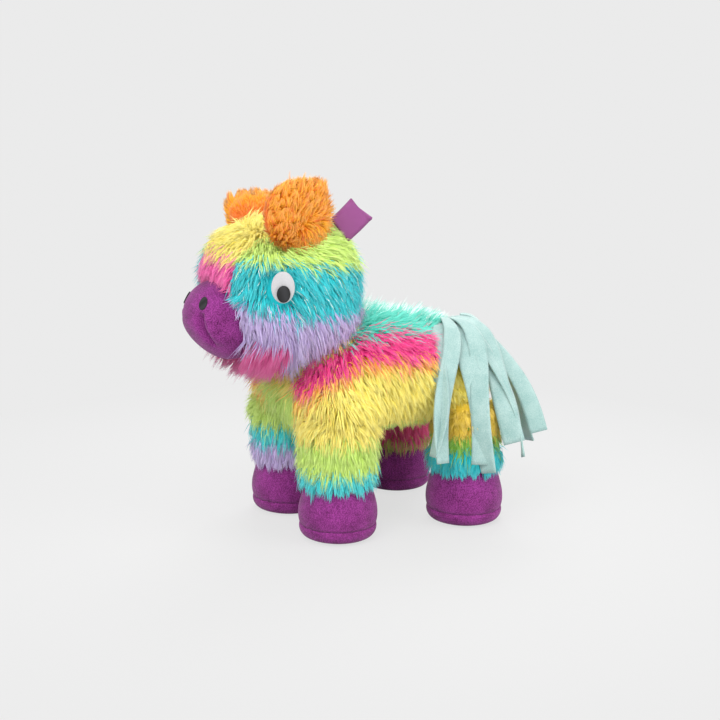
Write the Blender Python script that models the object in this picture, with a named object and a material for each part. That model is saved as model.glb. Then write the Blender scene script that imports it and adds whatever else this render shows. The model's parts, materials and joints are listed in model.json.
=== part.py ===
"""Stuffed plush toy shaped like a striped party donkey, in metres, +Z up, facing -Y.

Sewn panels lie over fibre stuffing. The head turns and nods on a stuffed neck ball, the legs swing
at ball-shaped hips, the ears and the loop tag flop on their seams, and felt tail strips hang free.
The plush panels are modelled out to the tips of their pile.
"""
import math

import bmesh
import bpy
from mathutils import Matrix, Vector

# Clearances
SEAM_GAP = 0.0003
BALL_GAP = 0.0009
FOLD_GAP = 0.0004
STRIP_ROOT_GAP = 0.0007

# Fabrics, pile included
PLUSH = 0.009
VELBOA = 0.0022
PATCH = 0.0016
FELT = 0.0012
RIBBON = 0.0006

# Torso, a rounded box that swells to the rump
TORSO_HALF_WIDTH = 0.055
TORSO_HALF_LENGTH = 0.068
TORSO_HALF_HEIGHT = 0.036
TORSO_HEIGHT = 0.0985
TORSO_BOXINESS = 2.5
TORSO_RUMP_SWELL = 0.06
WITHERS_RISE = 0.008
WITHERS_PLACE = -0.30
WITHERS_SPREAD = 0.40
BELLY_HALF_WIDTH = 0.018

# Neck ball, whose axis leans forward
NECK_BALL_RADIUS = 0.021
NECK_LEAN = math.radians(40.0)
NECK_BEHIND_CHEST = 0.016
NECK_HEIGHT = 0.124
HEAD_NOD = math.radians(10.0)
NECK_CUT_RADIUS = 0.090
NECK_CUT_DEPTH = 0.060

# Head, a rounded box, placed from the neck ball
HEAD_HALF_WIDTH = 0.047
HEAD_HALF_LENGTH = 0.051
HEAD_HALF_HEIGHT = 0.048
HEAD_BOXINESS = 2.5
HEAD_AHEAD = 0.024
HEAD_ABOVE = 0.039
CENTRE_PANEL_HALF_WIDTH = 0.022

# Muzzle, a dome on the lower front of the head
MUZZLE_HALF_WIDTH = 0.028
MUZZLE_HALF_LENGTH = 0.029
MUZZLE_HALF_HEIGHT = 0.029
MUZZLE_AHEAD = 0.039
MUZZLE_BELOW = 0.019
MUZZLE_ROUNDNESS = 2.2

# Face patches: half width, half height and the direction they lie in from the form's centre
EYE_HALF_WIDTH = 0.0085
EYE_HALF_HEIGHT = 0.0105
EYE_TURN = math.radians(66.0)
EYE_LIFT = math.radians(9.0)
PUPIL_HALF_WIDTH = 0.0052
PUPIL_HALF_HEIGHT = 0.0056
PUPIL_TURN = math.radians(67.0)
PUPIL_LIFT = math.radians(5.5)
NOSTRIL_HALF_WIDTH = 0.0032
NOSTRIL_HALF_HEIGHT = 0.0048
NOSTRIL_TURN = math.radians(33.0)
NOSTRIL_LIFT = math.radians(31.0)
PATCH_COLUMN = 0.0128

# Ears, flattened pads whose rounded feet sit in troughs of the head
EAR_HALF_WIDTH = 0.022
EAR_HEIGHT = 0.032
EAR_HALF_THICKNESS = 0.010
EAR_SQUARENESS = 3.0
EAR_SPREAD = 0.030
EAR_BEHIND_CENTRE = -0.004
EAR_AXIS_RISE = 0.0035
EAR_FACING = math.radians(74.0)
EAR_LEAN = math.radians(8.0)

# Loop tag in the left head seam, behind the ear
TAG_WIDTH = 0.020
TAG_LENGTH = 0.022
TAG_BEHIND_CENTRE = 0.032
TAG_RISE = 0.0006
TAG_LEAN = math.radians(16.0)

# Legs and hooves
FRONT_HALF_SPACING = 0.036
HIND_HALF_SPACING = 0.046
FRONT_LEG_BEHIND_CHEST = 0.015
HIND_LEG_AHEAD_OF_RUMP = 0.028
HIP_HEIGHT = 0.063
LEG_RADIUS = 0.0255
ANKLE_RADIUS = 0.0235
ANKLE_HEIGHT = 0.039
HOOF_TOP_RADIUS = 0.0205
HOOF_RADIUS = 0.0258
HOOF_WIDEST_HEIGHT = 0.013
SOLE_SEAM_HEIGHT = 0.0095
SOLE_FLAT_RADIUS = 0.018
SOLE_EDGE_RISE = 0.0017

# Tail strips, which fan out from a binding on the rump
STRIP_COUNT = 8
STRIP_WIDTH = 0.012
STRIP_ROOT_WIDTH = 0.0016
STRIP_POINTS = 13
TAIL_BEHIND_CENTRE = 0.049
BINDING_RADIUS = 0.0125
BINDING_HEIGHT = 0.0105
BINDING_TOP_RADIUS = 0.00875
BINDING_SHOULDER = 0.0085
STRIP_RISE = 0.008
STRIP_SPREAD_RATE = 1.25
STRIP_SPREAD_POWER = 0.9
STRIP_ARCH_RATE = 1.4
STRIP_FALL_POWER = 2.3
STRIP_LEG_CLEARANCE = 0.0065
STRIP_FIRST_BEARING = math.radians(-34.0)
STRIP_BEARING_STEP = math.radians(10.0)
STRIP_LAST_BEARING = math.radians(56.0)
STRIP_TIP_HEIGHTS = (0.054, 0.050, 0.047, 0.042, 0.048, 0.058, 0.062, 0.046)
STRIP_LAST_SHARE = 0.85
STRIP_LAYER_RISE = 0.0032
STRIP_LIFT = math.radians(40.0)

# Mesh fineness
BODY_SEGMENTS = 24
BODY_RINGS = 13
SMALL_SEGMENTS = 16
SMALL_RINGS = 9
BALL_SEGMENTS = 18
BALL_RINGS = 10
LEG_SEGMENTS = 16
BINDING_SEGMENTS = 24
BALL_TWIST = math.radians(3.7)
DOME_STEPS = 5

# Colours as linear red, green and blue
PINK = (0.80, 0.03, 0.19)
YELLOW = (0.83, 0.68, 0.12)
TEAL = (0.03, 0.45, 0.45)
LAVENDER = (0.42, 0.32, 0.62)
LIME = (0.52, 0.72, 0.18)
ORANGE = (0.91, 0.30, 0.02)
PURPLE = (0.24, 0.025, 0.24)
TAG_PURPLE = (0.30, 0.06, 0.26)
MINT = (0.58, 0.78, 0.74)
WHITE = (0.80, 0.79, 0.80)
BLACK = (0.02, 0.02, 0.022)
FIBRE = (0.75, 0.74, 0.70)

# Roughness
PLUSH_ROUGHNESS = 0.9
FIBRE_ROUGHNESS = 0.95
VELBOA_ROUGHNESS = 0.8
FELT_ROUGHNESS = 0.9
THREAD_ROUGHNESS = 0.7
RIBBON_ROUGHNESS = 0.75

SIDES = {"left": 1.0, "right": -1.0}
TORSO_CENTRE = Vector((0.0, 0.0, TORSO_HEIGHT))
NECK_CENTRE = Vector((0.0, -TORSO_HALF_LENGTH + NECK_BEHIND_CHEST, NECK_HEIGHT))
NECK_AXIS = Vector((0.0, -math.sin(NECK_LEAN), math.cos(NECK_LEAN)))
HEAD_CENTRE = NECK_CENTRE + Vector((0.0, -HEAD_AHEAD, HEAD_ABOVE))
MUZZLE_CENTRE = HEAD_CENTRE + Vector((0.0, -MUZZLE_AHEAD, -MUZZLE_BELOW))
HEAD_HALF = Vector((HEAD_HALF_WIDTH, HEAD_HALF_LENGTH, HEAD_HALF_HEIGHT))
MUZZLE_HALF = Vector((MUZZLE_HALF_WIDTH, MUZZLE_HALF_LENGTH, MUZZLE_HALF_HEIGHT))
FAR = 0.5
MILLIMETRES = 1000.0
WELD_DISTANCE = 1e-6
SHARP_ANGLE = math.radians(50.0)


def clear_scene():
    """Remove every object of the open scene."""
    for obj in list(bpy.data.objects):
        bpy.data.objects.remove(obj, do_unlink=True)


def finish_material(name, colour, roughness):
    """Return a plain cloth material."""
    material = bpy.data.materials.get(name) or bpy.data.materials.new(name)
    material.use_nodes = True
    shader = material.node_tree.nodes["Principled BSDF"]
    shader.inputs["Base Color"].default_value = (*colour, 1.0)
    shader.inputs["Roughness"].default_value = roughness
    shader.inputs["Metallic"].default_value = 0.0
    return material


def face_outwards(bm):
    """Turn a closed mesh's faces outwards, worked out at millimetre scale, where it is dependable."""
    bmesh.ops.scale(bm, vec=Vector((MILLIMETRES,) * 3), verts=bm.verts)
    bmesh.ops.recalc_face_normals(bm, faces=bm.faces)
    if bm.calc_volume(signed=True) < 0.0:
        bmesh.ops.reverse_faces(bm, faces=bm.faces)
    bmesh.ops.scale(bm, vec=Vector((1.0 / MILLIMETRES,) * 3), verts=bm.verts)


def make_object(name, bm):
    """Turn a bmesh into a smooth-shaded scene object."""
    face_outwards(bm)
    mesh = bpy.data.meshes.new(name)
    bm.to_mesh(mesh)
    bm.free()
    mesh.shade_smooth()
    mesh.set_sharp_from_angle(angle=SHARP_ANGLE)
    obj = bpy.data.objects.new(name, mesh)
    bpy.context.collection.objects.link(obj)
    return obj


def as_cutter(obj):
    """Mark an object as a cutter, which is no piece of the toy."""
    obj.hide_render = True
    obj.display_type = 'WIRE'
    return obj


def combine(obj, cutters, operation='DIFFERENCE'):
    """Add one Boolean modifier for each cutter."""
    for cutter in cutters:
        modifier = obj.modifiers.new(operation.title(), 'BOOLEAN')
        modifier.operation = operation
        modifier.solver = 'EXACT'
        modifier.object = cutter
    return obj


def empty_at(name, place, parent):
    """Return an empty that carries pieces at a joint."""
    empty = bpy.data.objects.new(name, None)
    bpy.context.collection.objects.link(empty)
    empty.parent = parent
    bpy.context.view_layer.update()
    empty.location = place - (parent.matrix_world.translation if parent else Vector())
    return empty


def hang(obj, pivot, place, colour, roughness):
    """Parent a piece to its joint's empty, with its origin there, and give it a material."""
    obj.data.transform(Matrix.Translation(-place))
    obj.parent = pivot
    obj.data.materials.append(finish_material(obj.name, colour, roughness))
    return obj


def mapped_sphere(name, shape, segments, rings, poles_along_y=True, twist=0.0):
    """A UV sphere whose points are sent through a shape function."""
    bm = bmesh.new()
    bmesh.ops.create_uvsphere(bm, u_segments=segments, v_segments=rings, radius=1.0)
    turn = Matrix.Rotation(math.pi / segments + twist, 3, 'Z')
    if poles_along_y:
        turn = Matrix.Rotation(math.pi / 2, 3, 'X') @ turn
    bmesh.ops.rotate(bm, verts=bm.verts, matrix=turn)
    for vert in bm.verts:
        vert.co = shape(vert.co)
    return make_object(name, bm)


def rounded(unit, power):
    """Push a unit direction out to a superellipsoid of the given power."""
    total = sum(abs(value) ** power for value in unit)
    return unit * total ** (-1.0 / power)


def torso_shape(grow):
    """Shape function of the torso, larger by grow."""
    def shape(unit):
        point = rounded(unit, TORSO_BOXINESS)
        width = (TORSO_HALF_WIDTH * (1.0 + TORSO_RUMP_SWELL * point.y) + grow) * point.x
        rise = WITHERS_RISE * math.exp(-((point.y - WITHERS_PLACE) / WITHERS_SPREAD) ** 2)
        height = (TORSO_HALF_HEIGHT + grow) * point.z + rise * max(point.z, 0.0) ** 2
        return TORSO_CENTRE + Vector((width, (TORSO_HALF_LENGTH + grow) * point.y, height))
    return shape


def box_shape(centre, half, power, grow):
    """Shape function of a rounded box, larger by grow."""
    def shape(unit):
        point = rounded(unit, power)
        return centre + Vector([value * (size + grow) for value, size in zip(point, half)])
    return shape


def torso_form(name, grow):
    """The torso's form, larger by grow."""
    return mapped_sphere(name, torso_shape(grow), BODY_SEGMENTS, BODY_RINGS)


def head_form(name, grow):
    """The head's form, larger by grow."""
    shape = box_shape(HEAD_CENTRE, HEAD_HALF, HEAD_BOXINESS, grow)
    return mapped_sphere(name, shape, BODY_SEGMENTS, BODY_RINGS)


def muzzle_form(name, grow):
    """The muzzle's form, larger by grow."""
    shape = box_shape(MUZZLE_CENTRE, MUZZLE_HALF, MUZZLE_ROUNDNESS, grow)
    return mapped_sphere(name, shape, BALL_SEGMENTS, BALL_RINGS)


def ball(name, centre, radius):
    """A round ball, for joints and their sockets."""
    return mapped_sphere(name, lambda unit: centre + unit * radius, BALL_SEGMENTS, BALL_RINGS,
                         poles_along_y=False, twist=BALL_TWIST)


def block(name, low, high):
    """A box between two corners."""
    bm = bmesh.new()
    bmesh.ops.create_cube(bm, size=1.0)
    size = Vector(high) - Vector(low)
    bmesh.ops.scale(bm, vec=size, verts=bm.verts)
    bmesh.ops.translate(bm, vec=(Vector(low) + Vector(high)) / 2, verts=bm.verts)
    return as_cutter(make_object(name, bm))


def turned(name, profile, centre, segments, axis=Vector((0.0, 0.0, 1.0))):
    """Turn a profile of radius and height about an axis through a centre."""
    bm = bmesh.new()
    verts = [bm.verts.new((radius, 0.0, height)) for radius, height in profile]
    edges = [bm.edges.new(pair) for pair in zip(verts, verts[1:])]
    if profile[0][0] > 0.0:
        edges.append(bm.edges.new((verts[-1], verts[0])))
    bmesh.ops.spin(bm, geom=verts + edges, cent=(0, 0, 0), axis=(0, 0, 1),
                   angle=2 * math.pi, steps=segments, use_duplicate=False)
    bmesh.ops.remove_doubles(bm, verts=bm.verts, dist=WELD_DISTANCE)
    turn = axis.to_track_quat('Z', 'Y').to_matrix().to_4x4()
    bm.transform(Matrix.Translation(centre) @ turn)
    return make_object(name, bm)


def surface_point(centre, half, power, direction):
    """Where a direction from the centre leaves a rounded box, and the outward normal there."""
    total = sum((abs(value) / size) ** power for value, size in zip(direction, half))
    offset = direction * total ** (-1.0 / power)
    slope = [math.copysign((abs(value) / size) ** (power - 1.0) / size, value)
             for value, size in zip(offset, half)]
    return centre + offset, Vector(slope).normalized()


def facing(turn, lift, sign):
    """Unit direction turned from the front towards one side and lifted."""
    return Vector((sign * math.sin(turn) * math.cos(lift), -math.cos(turn) * math.cos(lift), math.sin(lift)))


def neck_cutters():
    """The socket for the neck ball and the cuts that let the head nod and turn."""
    socket = as_cutter(ball("neck_socket_cut", NECK_CENTRE, NECK_BALL_RADIUS + BALL_GAP))
    rise = NECK_CUT_RADIUS * math.tan(HEAD_NOD)
    cone = [(0.0, SEAM_GAP), (NECK_CUT_RADIUS, rise + SEAM_GAP),
            (NECK_CUT_RADIUS, -NECK_CUT_DEPTH), (0.0, -NECK_CUT_DEPTH)]
    disc = [(0.0, NECK_CUT_DEPTH), (NECK_CUT_RADIUS, NECK_CUT_DEPTH),
            (NECK_CUT_RADIUS, -SEAM_GAP), (0.0, -SEAM_GAP)]
    below = as_cutter(turned("head_underside_cut", cone, NECK_CENTRE, BALL_SEGMENTS, NECK_AXIS))
    above = as_cutter(turned("torso_neckline_cut", disc, NECK_CENTRE, BALL_SEGMENTS, NECK_AXIS))
    return socket, below, above


def leg_places():
    """Name and hip centre of each leg."""
    front = -TORSO_HALF_LENGTH + FRONT_LEG_BEHIND_CHEST
    hind = TORSO_HALF_LENGTH - HIND_LEG_AHEAD_OF_RUMP
    rows = {"front": (FRONT_HALF_SPACING, front), "hind": (HIND_HALF_SPACING, hind)}
    return {f"{row}_{side}": Vector((sign * across, along, HIP_HEIGHT))
            for row, (across, along) in rows.items() for side, sign in SIDES.items()}


def build_torso(root, socket, neckline, hips):
    """Left, right and belly panels over the torso's stuffing."""
    hollow = as_cutter(torso_form("torso_hollow_cut", -PLUSH))
    sockets = [as_cutter(ball(f"hip_socket_cut_{name}", hip, LEG_RADIUS + BALL_GAP))
               for name, hip in hips.items()]
    belly = BELLY_HALF_WIDTH
    opening = block("belly_cut", (-belly - SEAM_GAP, -FAR, -FAR), (belly + SEAM_GAP, FAR, TORSO_HEIGHT))
    inside = block("belly_keep", (-belly, -FAR, -FAR), (belly, FAR, TORSO_HEIGHT - SEAM_GAP))
    cuts = [socket, neckline] + sockets
    for side, sign in SIDES.items():
        across = sorted((sign * SEAM_GAP / 2, sign * FAR))
        half = block(f"torso_{side}_keep", (across[0], -FAR, -FAR), (across[1], FAR, FAR))
        panel = torso_form(f"torso_{side}_panel", 0.0)
        combine(panel, [half], 'INTERSECT')
        combine(panel, cuts + [opening, hollow])
        hang(panel, root, Vector(), PINK, PLUSH_ROUGHNESS)
    belly_panel = torso_form("belly_panel", 0.0)
    combine(belly_panel, [inside], 'INTERSECT')
    combine(belly_panel, [hollow] + cuts)
    hang(belly_panel, root, Vector(), YELLOW, PLUSH_ROUGHNESS)
    stuffing = torso_form("torso_stuffing", -PLUSH - SEAM_GAP)
    combine(stuffing, cuts)
    hang(stuffing, root, Vector(), FIBRE, FIBRE_ROUGHNESS)


def build_head(root, socket, underside):
    """Neck ball, head panels over their stuffing, and the muzzle with its own."""
    turn = empty_at("neck_turn", NECK_CENTRE, root)
    hang(ball("neck_stuffing", NECK_CENTRE, NECK_BALL_RADIUS), turn, NECK_CENTRE, FIBRE, FIBRE_ROUGHNESS)
    nod = empty_at("head_nod", NECK_CENTRE, turn)
    hollow = as_cutter(head_form("head_hollow_cut", -PLUSH))
    troughs = [as_cutter(ear_form(f"ear_trough_cut_{side}", sign, BALL_GAP)) for side, sign in SIDES.items()]
    cuts = [hollow, socket, underside] + troughs
    seam = CENTRE_PANEL_HALF_WIDTH
    for side, sign in SIDES.items():
        across = sorted((sign * (seam + SEAM_GAP), sign * FAR))
        keep = block(f"head_{side}_keep", (across[0], -FAR, -FAR), (across[1], FAR, FAR))
        panel = head_form(f"head_{side}_panel", 0.0)
        combine(panel, [keep], 'INTERSECT')
        combine(panel, cuts)
        hang(panel, nod, NECK_CENTRE, TEAL, PLUSH_ROUGHNESS)
    keep = block("head_centre_keep", (-seam, -FAR, -FAR), (seam, FAR, FAR))
    panel = head_form("head_centre_panel", 0.0)
    combine(panel, [keep], 'INTERSECT')
    combine(panel, cuts)
    hang(panel, nod, NECK_CENTRE, YELLOW, PLUSH_ROUGHNESS)
    stuffing = head_form("head_stuffing", -PLUSH - SEAM_GAP)
    combine(stuffing, [socket, underside])
    hang(stuffing, nod, NECK_CENTRE, FIBRE, FIBRE_ROUGHNESS)
    seat = as_cutter(head_form("muzzle_seat_cut", SEAM_GAP))
    muzzle_hollow = as_cutter(muzzle_form("muzzle_hollow_cut", -VELBOA))
    cover = muzzle_form("muzzle_cover", 0.0)
    combine(cover, [muzzle_hollow, seat])
    hang(cover, nod, NECK_CENTRE, PURPLE, VELBOA_ROUGHNESS)
    filling = muzzle_form("muzzle_stuffing", -VELBOA - SEAM_GAP)
    combine(filling, [seat])
    hang(filling, nod, NECK_CENTRE, FIBRE, FIBRE_ROUGHNESS)
    return nod


def patch(name, form, base, thickness, centre, half, power, direction, half_size):
    """A sewn patch that follows a form: an oval column kept between two skins of it."""
    spot, normal = surface_point(centre, half, power, direction)
    bm = bmesh.new()
    bmesh.ops.create_cone(bm, cap_ends=True, segments=SMALL_SEGMENTS,
                          radius1=1.0, radius2=1.0, depth=1.0)
    bmesh.ops.scale(bm, vec=(*half_size, 2 * PATCH_COLUMN), verts=bm.verts)
    frame = normal.to_track_quat('Z', 'Y').to_matrix().to_4x4()
    bm.transform(Matrix.Translation(spot) @ frame)
    obj = make_object(name, bm)
    outer = as_cutter(form(f"{name}_outer_keep", base + thickness))
    inner = as_cutter(form(f"{name}_inner_cut", base))
    combine(obj, [outer], 'INTERSECT')
    return combine(obj, [inner])


def build_face(nod):
    """Eye patches with their pupils, and nostrils on the muzzle."""
    eye = (HEAD_CENTRE, HEAD_HALF, HEAD_BOXINESS)
    nose = (MUZZLE_CENTRE, MUZZLE_HALF, MUZZLE_ROUNDNESS)
    for side, sign in SIDES.items():
        white = patch(f"eye_white_{side}", head_form, SEAM_GAP, PATCH, *eye,
                      facing(EYE_TURN, EYE_LIFT, sign), (EYE_HALF_WIDTH, EYE_HALF_HEIGHT))
        pupil = patch(f"pupil_{side}", head_form, PATCH + 2 * SEAM_GAP, PATCH, *eye,
                      facing(PUPIL_TURN, PUPIL_LIFT, sign), (PUPIL_HALF_WIDTH, PUPIL_HALF_HEIGHT))
        nostril = patch(f"nostril_{side}", muzzle_form, SEAM_GAP, PATCH, *nose,
                        facing(NOSTRIL_TURN, NOSTRIL_LIFT, sign), (NOSTRIL_HALF_WIDTH, NOSTRIL_HALF_HEIGHT))
        hang(white, nod, NECK_CENTRE, WHITE, FELT_ROUGHNESS)
        hang(pupil, nod, NECK_CENTRE, BLACK, THREAD_ROUGHNESS)
        hang(nostril, nod, NECK_CENTRE, BLACK, THREAD_ROUGHNESS)


def head_top(across, behind):
    """Point on top of the head, so far across and behind its centre."""
    rest = 1.0 - (abs(across) / HEAD_HALF_WIDTH) ** HEAD_BOXINESS
    rest -= (abs(behind) / HEAD_HALF_LENGTH) ** HEAD_BOXINESS
    level = HEAD_HALF_HEIGHT * rest ** (1.0 / HEAD_BOXINESS)
    return HEAD_CENTRE + Vector((across, behind, level))


def ear_frame(sign):
    """Place and axes of an ear: across its width, up, and towards its lining."""
    top = head_top(sign * EAR_SPREAD, EAR_BEHIND_CENTRE)
    normal = surface_point(HEAD_CENTRE, HEAD_HALF, HEAD_BOXINESS, top - HEAD_CENTRE)[1]
    lining = Vector((-sign * math.sin(EAR_FACING), -math.cos(EAR_FACING), 0.0))
    up = Vector((sign * math.sin(EAR_LEAN), 0.0, math.cos(EAR_LEAN)))
    across = up.cross(lining).normalized()
    return top + normal * EAR_AXIS_RISE, Matrix((across, up, across.cross(up))).transposed()


def ear_form(name, sign, grow):
    """An ear, or the trough for its foot: round about its hinge below, tall and squarish above."""
    place, axes = ear_frame(sign)

    def shape(unit):
        point = rounded(unit, EAR_SQUARENESS) if unit.y > 0.0 else unit
        level = EAR_HEIGHT if unit.y > 0.0 and grow == 0.0 else EAR_HALF_THICKNESS + grow
        across = (EAR_HALF_WIDTH + grow) * point.x
        return place + axes @ Vector((across, level * point.y, (EAR_HALF_THICKNESS + grow) * unit.z))
    return mapped_sphere(name, shape, SMALL_SEGMENTS, SMALL_RINGS, False)


def build_ears(nod):
    """Each ear is a plush back and a lining, sewn together round the edge."""
    for side, sign in SIDES.items():
        place, axes = ear_frame(sign)
        pivot = empty_at(f"ear_{side}_hinge", place, nod)
        inward = axes.col[2]
        for layer, way in (("back", -1.0), ("lining", 1.0)):
            ear = ear_form(f"ear_{layer}_{side}", sign, 0.0)
            keep = block(f"ear_{layer}_{side}_keep", (-FAR, -FAR, 0.0), (FAR, FAR, FAR))
            frame = (inward * way).to_track_quat('Z', 'Y').to_matrix().to_4x4()
            keep.data.transform(Matrix.Translation(place + inward * way * SEAM_GAP / 2) @ frame)
            combine(ear, [keep], 'INTERSECT')
            hang(ear, pivot, place, ORANGE, PLUSH_ROUGHNESS)


def build_tag(nod):
    """A folded ribbon whose base lies along the left head seam."""
    aside = CENTRE_PANEL_HALF_WIDTH
    spot = head_top(aside, TAG_BEHIND_CENTRE)
    normal = surface_point(HEAD_CENTRE, HEAD_HALF, HEAD_BOXINESS, spot - HEAD_CENTRE)[1]
    upright = Vector((0.0, normal.y, normal.z)).normalized()
    base = spot + normal * TAG_RISE
    along = Vector((0.0, upright.z, -upright.y))
    out = Matrix.Rotation(-TAG_LEAN, 3, 'X') @ upright
    side = Vector((1.0, 0.0, 0.0))
    half = RIBBON + FOLD_GAP / 2
    slit = FOLD_GAP / 2
    fold = TAG_LENGTH - RIBBON
    outline = [(0.0, slit), (0.0, half), (fold, half), (TAG_LENGTH, half / 2), (TAG_LENGTH, -half / 2),
               (fold, -half), (0.0, -half), (0.0, -slit), (fold, -slit), (fold, slit)]
    bm = bmesh.new()
    start = base - along * TAG_WIDTH / 2
    corners = [start + out * length + side * depth for length, depth in outline]
    face = bm.faces.new([bm.verts.new(corner) for corner in corners])
    grown = bmesh.ops.extrude_face_region(bm, geom=[face])
    moved = [item for item in grown["geom"] if isinstance(item, bmesh.types.BMVert)]
    bmesh.ops.translate(bm, vec=along * TAG_WIDTH, verts=moved)
    pivot = empty_at("tag_hinge", base, nod)
    hang(make_object("loop_tag", bm), pivot, base, TAG_PURPLE, RIBBON_ROUGHNESS)
    return base, along


def leg_profiles():
    """Turned profiles of a leg's sleeve, stuffing, hoof cover and sole, from the hip centre down."""
    floor = -HIP_HEIGHT
    ankle = floor + ANKLE_HEIGHT
    seam = floor + SOLE_SEAM_HEIGHT
    quarter = [math.pi / 2 * (1.0 - step / DOME_STEPS) for step in range(DOME_STEPS + 1)]
    dome = [(LEG_RADIUS * math.cos(angle), LEG_RADIUS * math.sin(angle)) for angle in quarter]
    inner = LEG_RADIUS - PLUSH
    hollow = [(inner * math.cos(angle), inner * math.sin(angle)) for angle in quarter]
    ankle_inner = ANKLE_RADIUS - PLUSH
    dome[0] = (0.0, LEG_RADIUS)
    hollow[0] = (0.0, inner)
    sleeve = dome + [(ANKLE_RADIUS, ankle), (ankle_inner, ankle)] + hollow[::-1]
    widest = floor + HOOF_WIDEST_HEIGHT
    top = ankle - SEAM_GAP
    middle = (HOOF_TOP_RADIUS + HOOF_RADIUS) / 2
    half_way = (top + widest) / 2
    wall = VELBOA
    hem = seam + SEAM_GAP
    hoof = [(HOOF_TOP_RADIUS, top), (middle, half_way), (HOOF_RADIUS, widest), (HOOF_RADIUS, hem),
            (HOOF_RADIUS - wall, hem), (HOOF_RADIUS - wall, widest),
            (middle - wall, half_way), (HOOF_TOP_RADIUS - wall, top)]
    edge = (HOOF_RADIUS + SOLE_FLAT_RADIUS) / 2 + wall / 2
    low = floor + SOLE_EDGE_RISE
    sole = [(0.0, floor), (SOLE_FLAT_RADIUS, floor), (edge, low), (HOOF_RADIUS, seam),
            (HOOF_RADIUS - wall, seam), (edge - wall, low + wall), (SOLE_FLAT_RADIUS - wall, floor + wall),
            (0.0, floor + wall)]
    slack = wall + SEAM_GAP
    fit = inner - SEAM_GAP
    core = [(fit * math.cos(angle), fit * math.sin(angle)) for angle in quarter]
    core[0] = (0.0, fit)
    filling = core + [(ankle_inner - SEAM_GAP, ankle), (HOOF_TOP_RADIUS - slack - PLUSH / 2, top),
                      (middle - slack, half_way), (HOOF_RADIUS - slack, widest), (HOOF_RADIUS - slack, seam),
                      (edge - slack, low + slack), (SOLE_FLAT_RADIUS - slack, floor + slack),
                      (0.0, floor + slack)]
    return {"leg_sleeve": (sleeve, PLUSH_ROUGHNESS), "leg_stuffing": (filling, FIBRE_ROUGHNESS),
            "hoof_cover": (hoof, VELBOA_ROUGHNESS), "hoof_sole": (sole, VELBOA_ROUGHNESS)}


def build_legs(root, hips):
    """Four legs, each a plush sleeve and a hoof over one stuffing."""
    sleeve_colours = {"front_left": LIME, "front_right": LAVENDER, "hind_left": TEAL, "hind_right": PINK}
    for name, hip in hips.items():
        pivot = empty_at(f"hip_{name}", hip, root)
        colours = {"leg_sleeve": sleeve_colours[name], "leg_stuffing": FIBRE}
        for piece, (profile, roughness) in leg_profiles().items():
            obj = turned(f"{piece}_{name}", profile, hip, LEG_SEGMENTS)
            hang(obj, pivot, hip, colours.get(piece, PURPLE), roughness)


def strip_bearings():
    """Plan directions of the strips, from the left flank round to the back."""
    first = [STRIP_FIRST_BEARING + STRIP_BEARING_STEP * index for index in range(STRIP_COUNT - 1)]
    return first + [STRIP_LAST_BEARING]


def tail_base():
    """Where the binding stands on the rump."""
    depth = 1.0 - (TAIL_BEHIND_CENTRE / TORSO_HALF_LENGTH) ** TORSO_BOXINESS
    level = TORSO_HEIGHT + TORSO_HALF_HEIGHT * depth ** (1.0 / TORSO_BOXINESS)
    return Vector((0.0, TAIL_BEHIND_CENTRE, level))


def strip_layer(index):
    """Strips lie in two layers, turn about, as cut felt does: 0 is the inner layer and 1 the outer."""
    return index % 2


def strip_path(index):
    """Centre line of a strip as reach from the binding and height: up and out, over, then down."""
    outer = STRIP_LAYER_RISE * strip_layer(index)
    start = BINDING_RADIUS + STRIP_ROOT_GAP
    far = HIND_HALF_SPACING + LEG_RADIUS + STRIP_LEG_CLEARANCE + outer
    if index == STRIP_COUNT - 1:
        far *= STRIP_LAST_SHARE
    top = tail_base().z + BINDING_SHOULDER / 2 + outer
    points = []
    for step in range(STRIP_POINTS):
        share = step / (STRIP_POINTS - 1)
        spread = math.sin(math.pi / 2 * min(1.0, share * STRIP_SPREAD_RATE))
        out = start + (far - start) * spread ** STRIP_SPREAD_POWER
        fall = (top - STRIP_TIP_HEIGHTS[index]) * share ** STRIP_FALL_POWER
        arch = STRIP_RISE * math.sin(math.pi * min(1.0, share * STRIP_ARCH_RATE))
        points.append((out, top + arch - fall))
    return points


def swept_reach(points, step):
    """Least reach that a point of a strip has while the strip lifts about its root."""
    out = points[step][0] - points[0][0]
    rise = points[step][1] - points[0][1]
    lifted = out * math.cos(STRIP_LIFT) - rise * math.sin(STRIP_LIFT)
    return points[0][0] + min(out, lifted)


def build_strip(root, index, bearing):
    """One felt strip, pinched at its root, in its own upright plane, hinged at the binding."""
    base = tail_base()
    out = Vector((math.cos(bearing), math.sin(bearing), 0.0))
    across = Vector((-out.y, out.x, 0.0))
    points = strip_path(index)
    centres = [Vector((base.x, base.y, height)) + out * reach for reach, height in points]
    hinge = centres[0]
    sector = 2 * math.tan(STRIP_BEARING_STEP / 2)
    bm = bmesh.new()
    rings = []
    for step, centre in enumerate(centres):
        ahead = centres[min(step + 1, len(centres) - 1)] - centres[max(step - 1, 0)]
        thick = ahead.cross(across).normalized() * FELT / 2
        width = max(STRIP_ROOT_WIDTH, min(STRIP_WIDTH, swept_reach(points, step) * sector - 2 * SEAM_GAP))
        edge = across * width / 2
        corners = (centre + edge + thick, centre + edge - thick, centre - edge - thick, centre - edge + thick)
        rings.append([bm.verts.new(corner) for corner in corners])
    for low, high in zip(rings, rings[1:]):
        for corner in range(4):
            after = (corner + 1) % 4
            bm.faces.new((low[corner], low[after], high[after], high[corner]))
    bm.faces.new(rings[0])
    bm.faces.new(rings[-1])
    pivot = empty_at(f"strip_{index + 1}_hinge", hinge, root)
    hang(make_object(f"tail_strip_{index + 1}", bm), pivot, hinge, MINT, FELT_ROUGHNESS)
    return hinge, across


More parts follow.
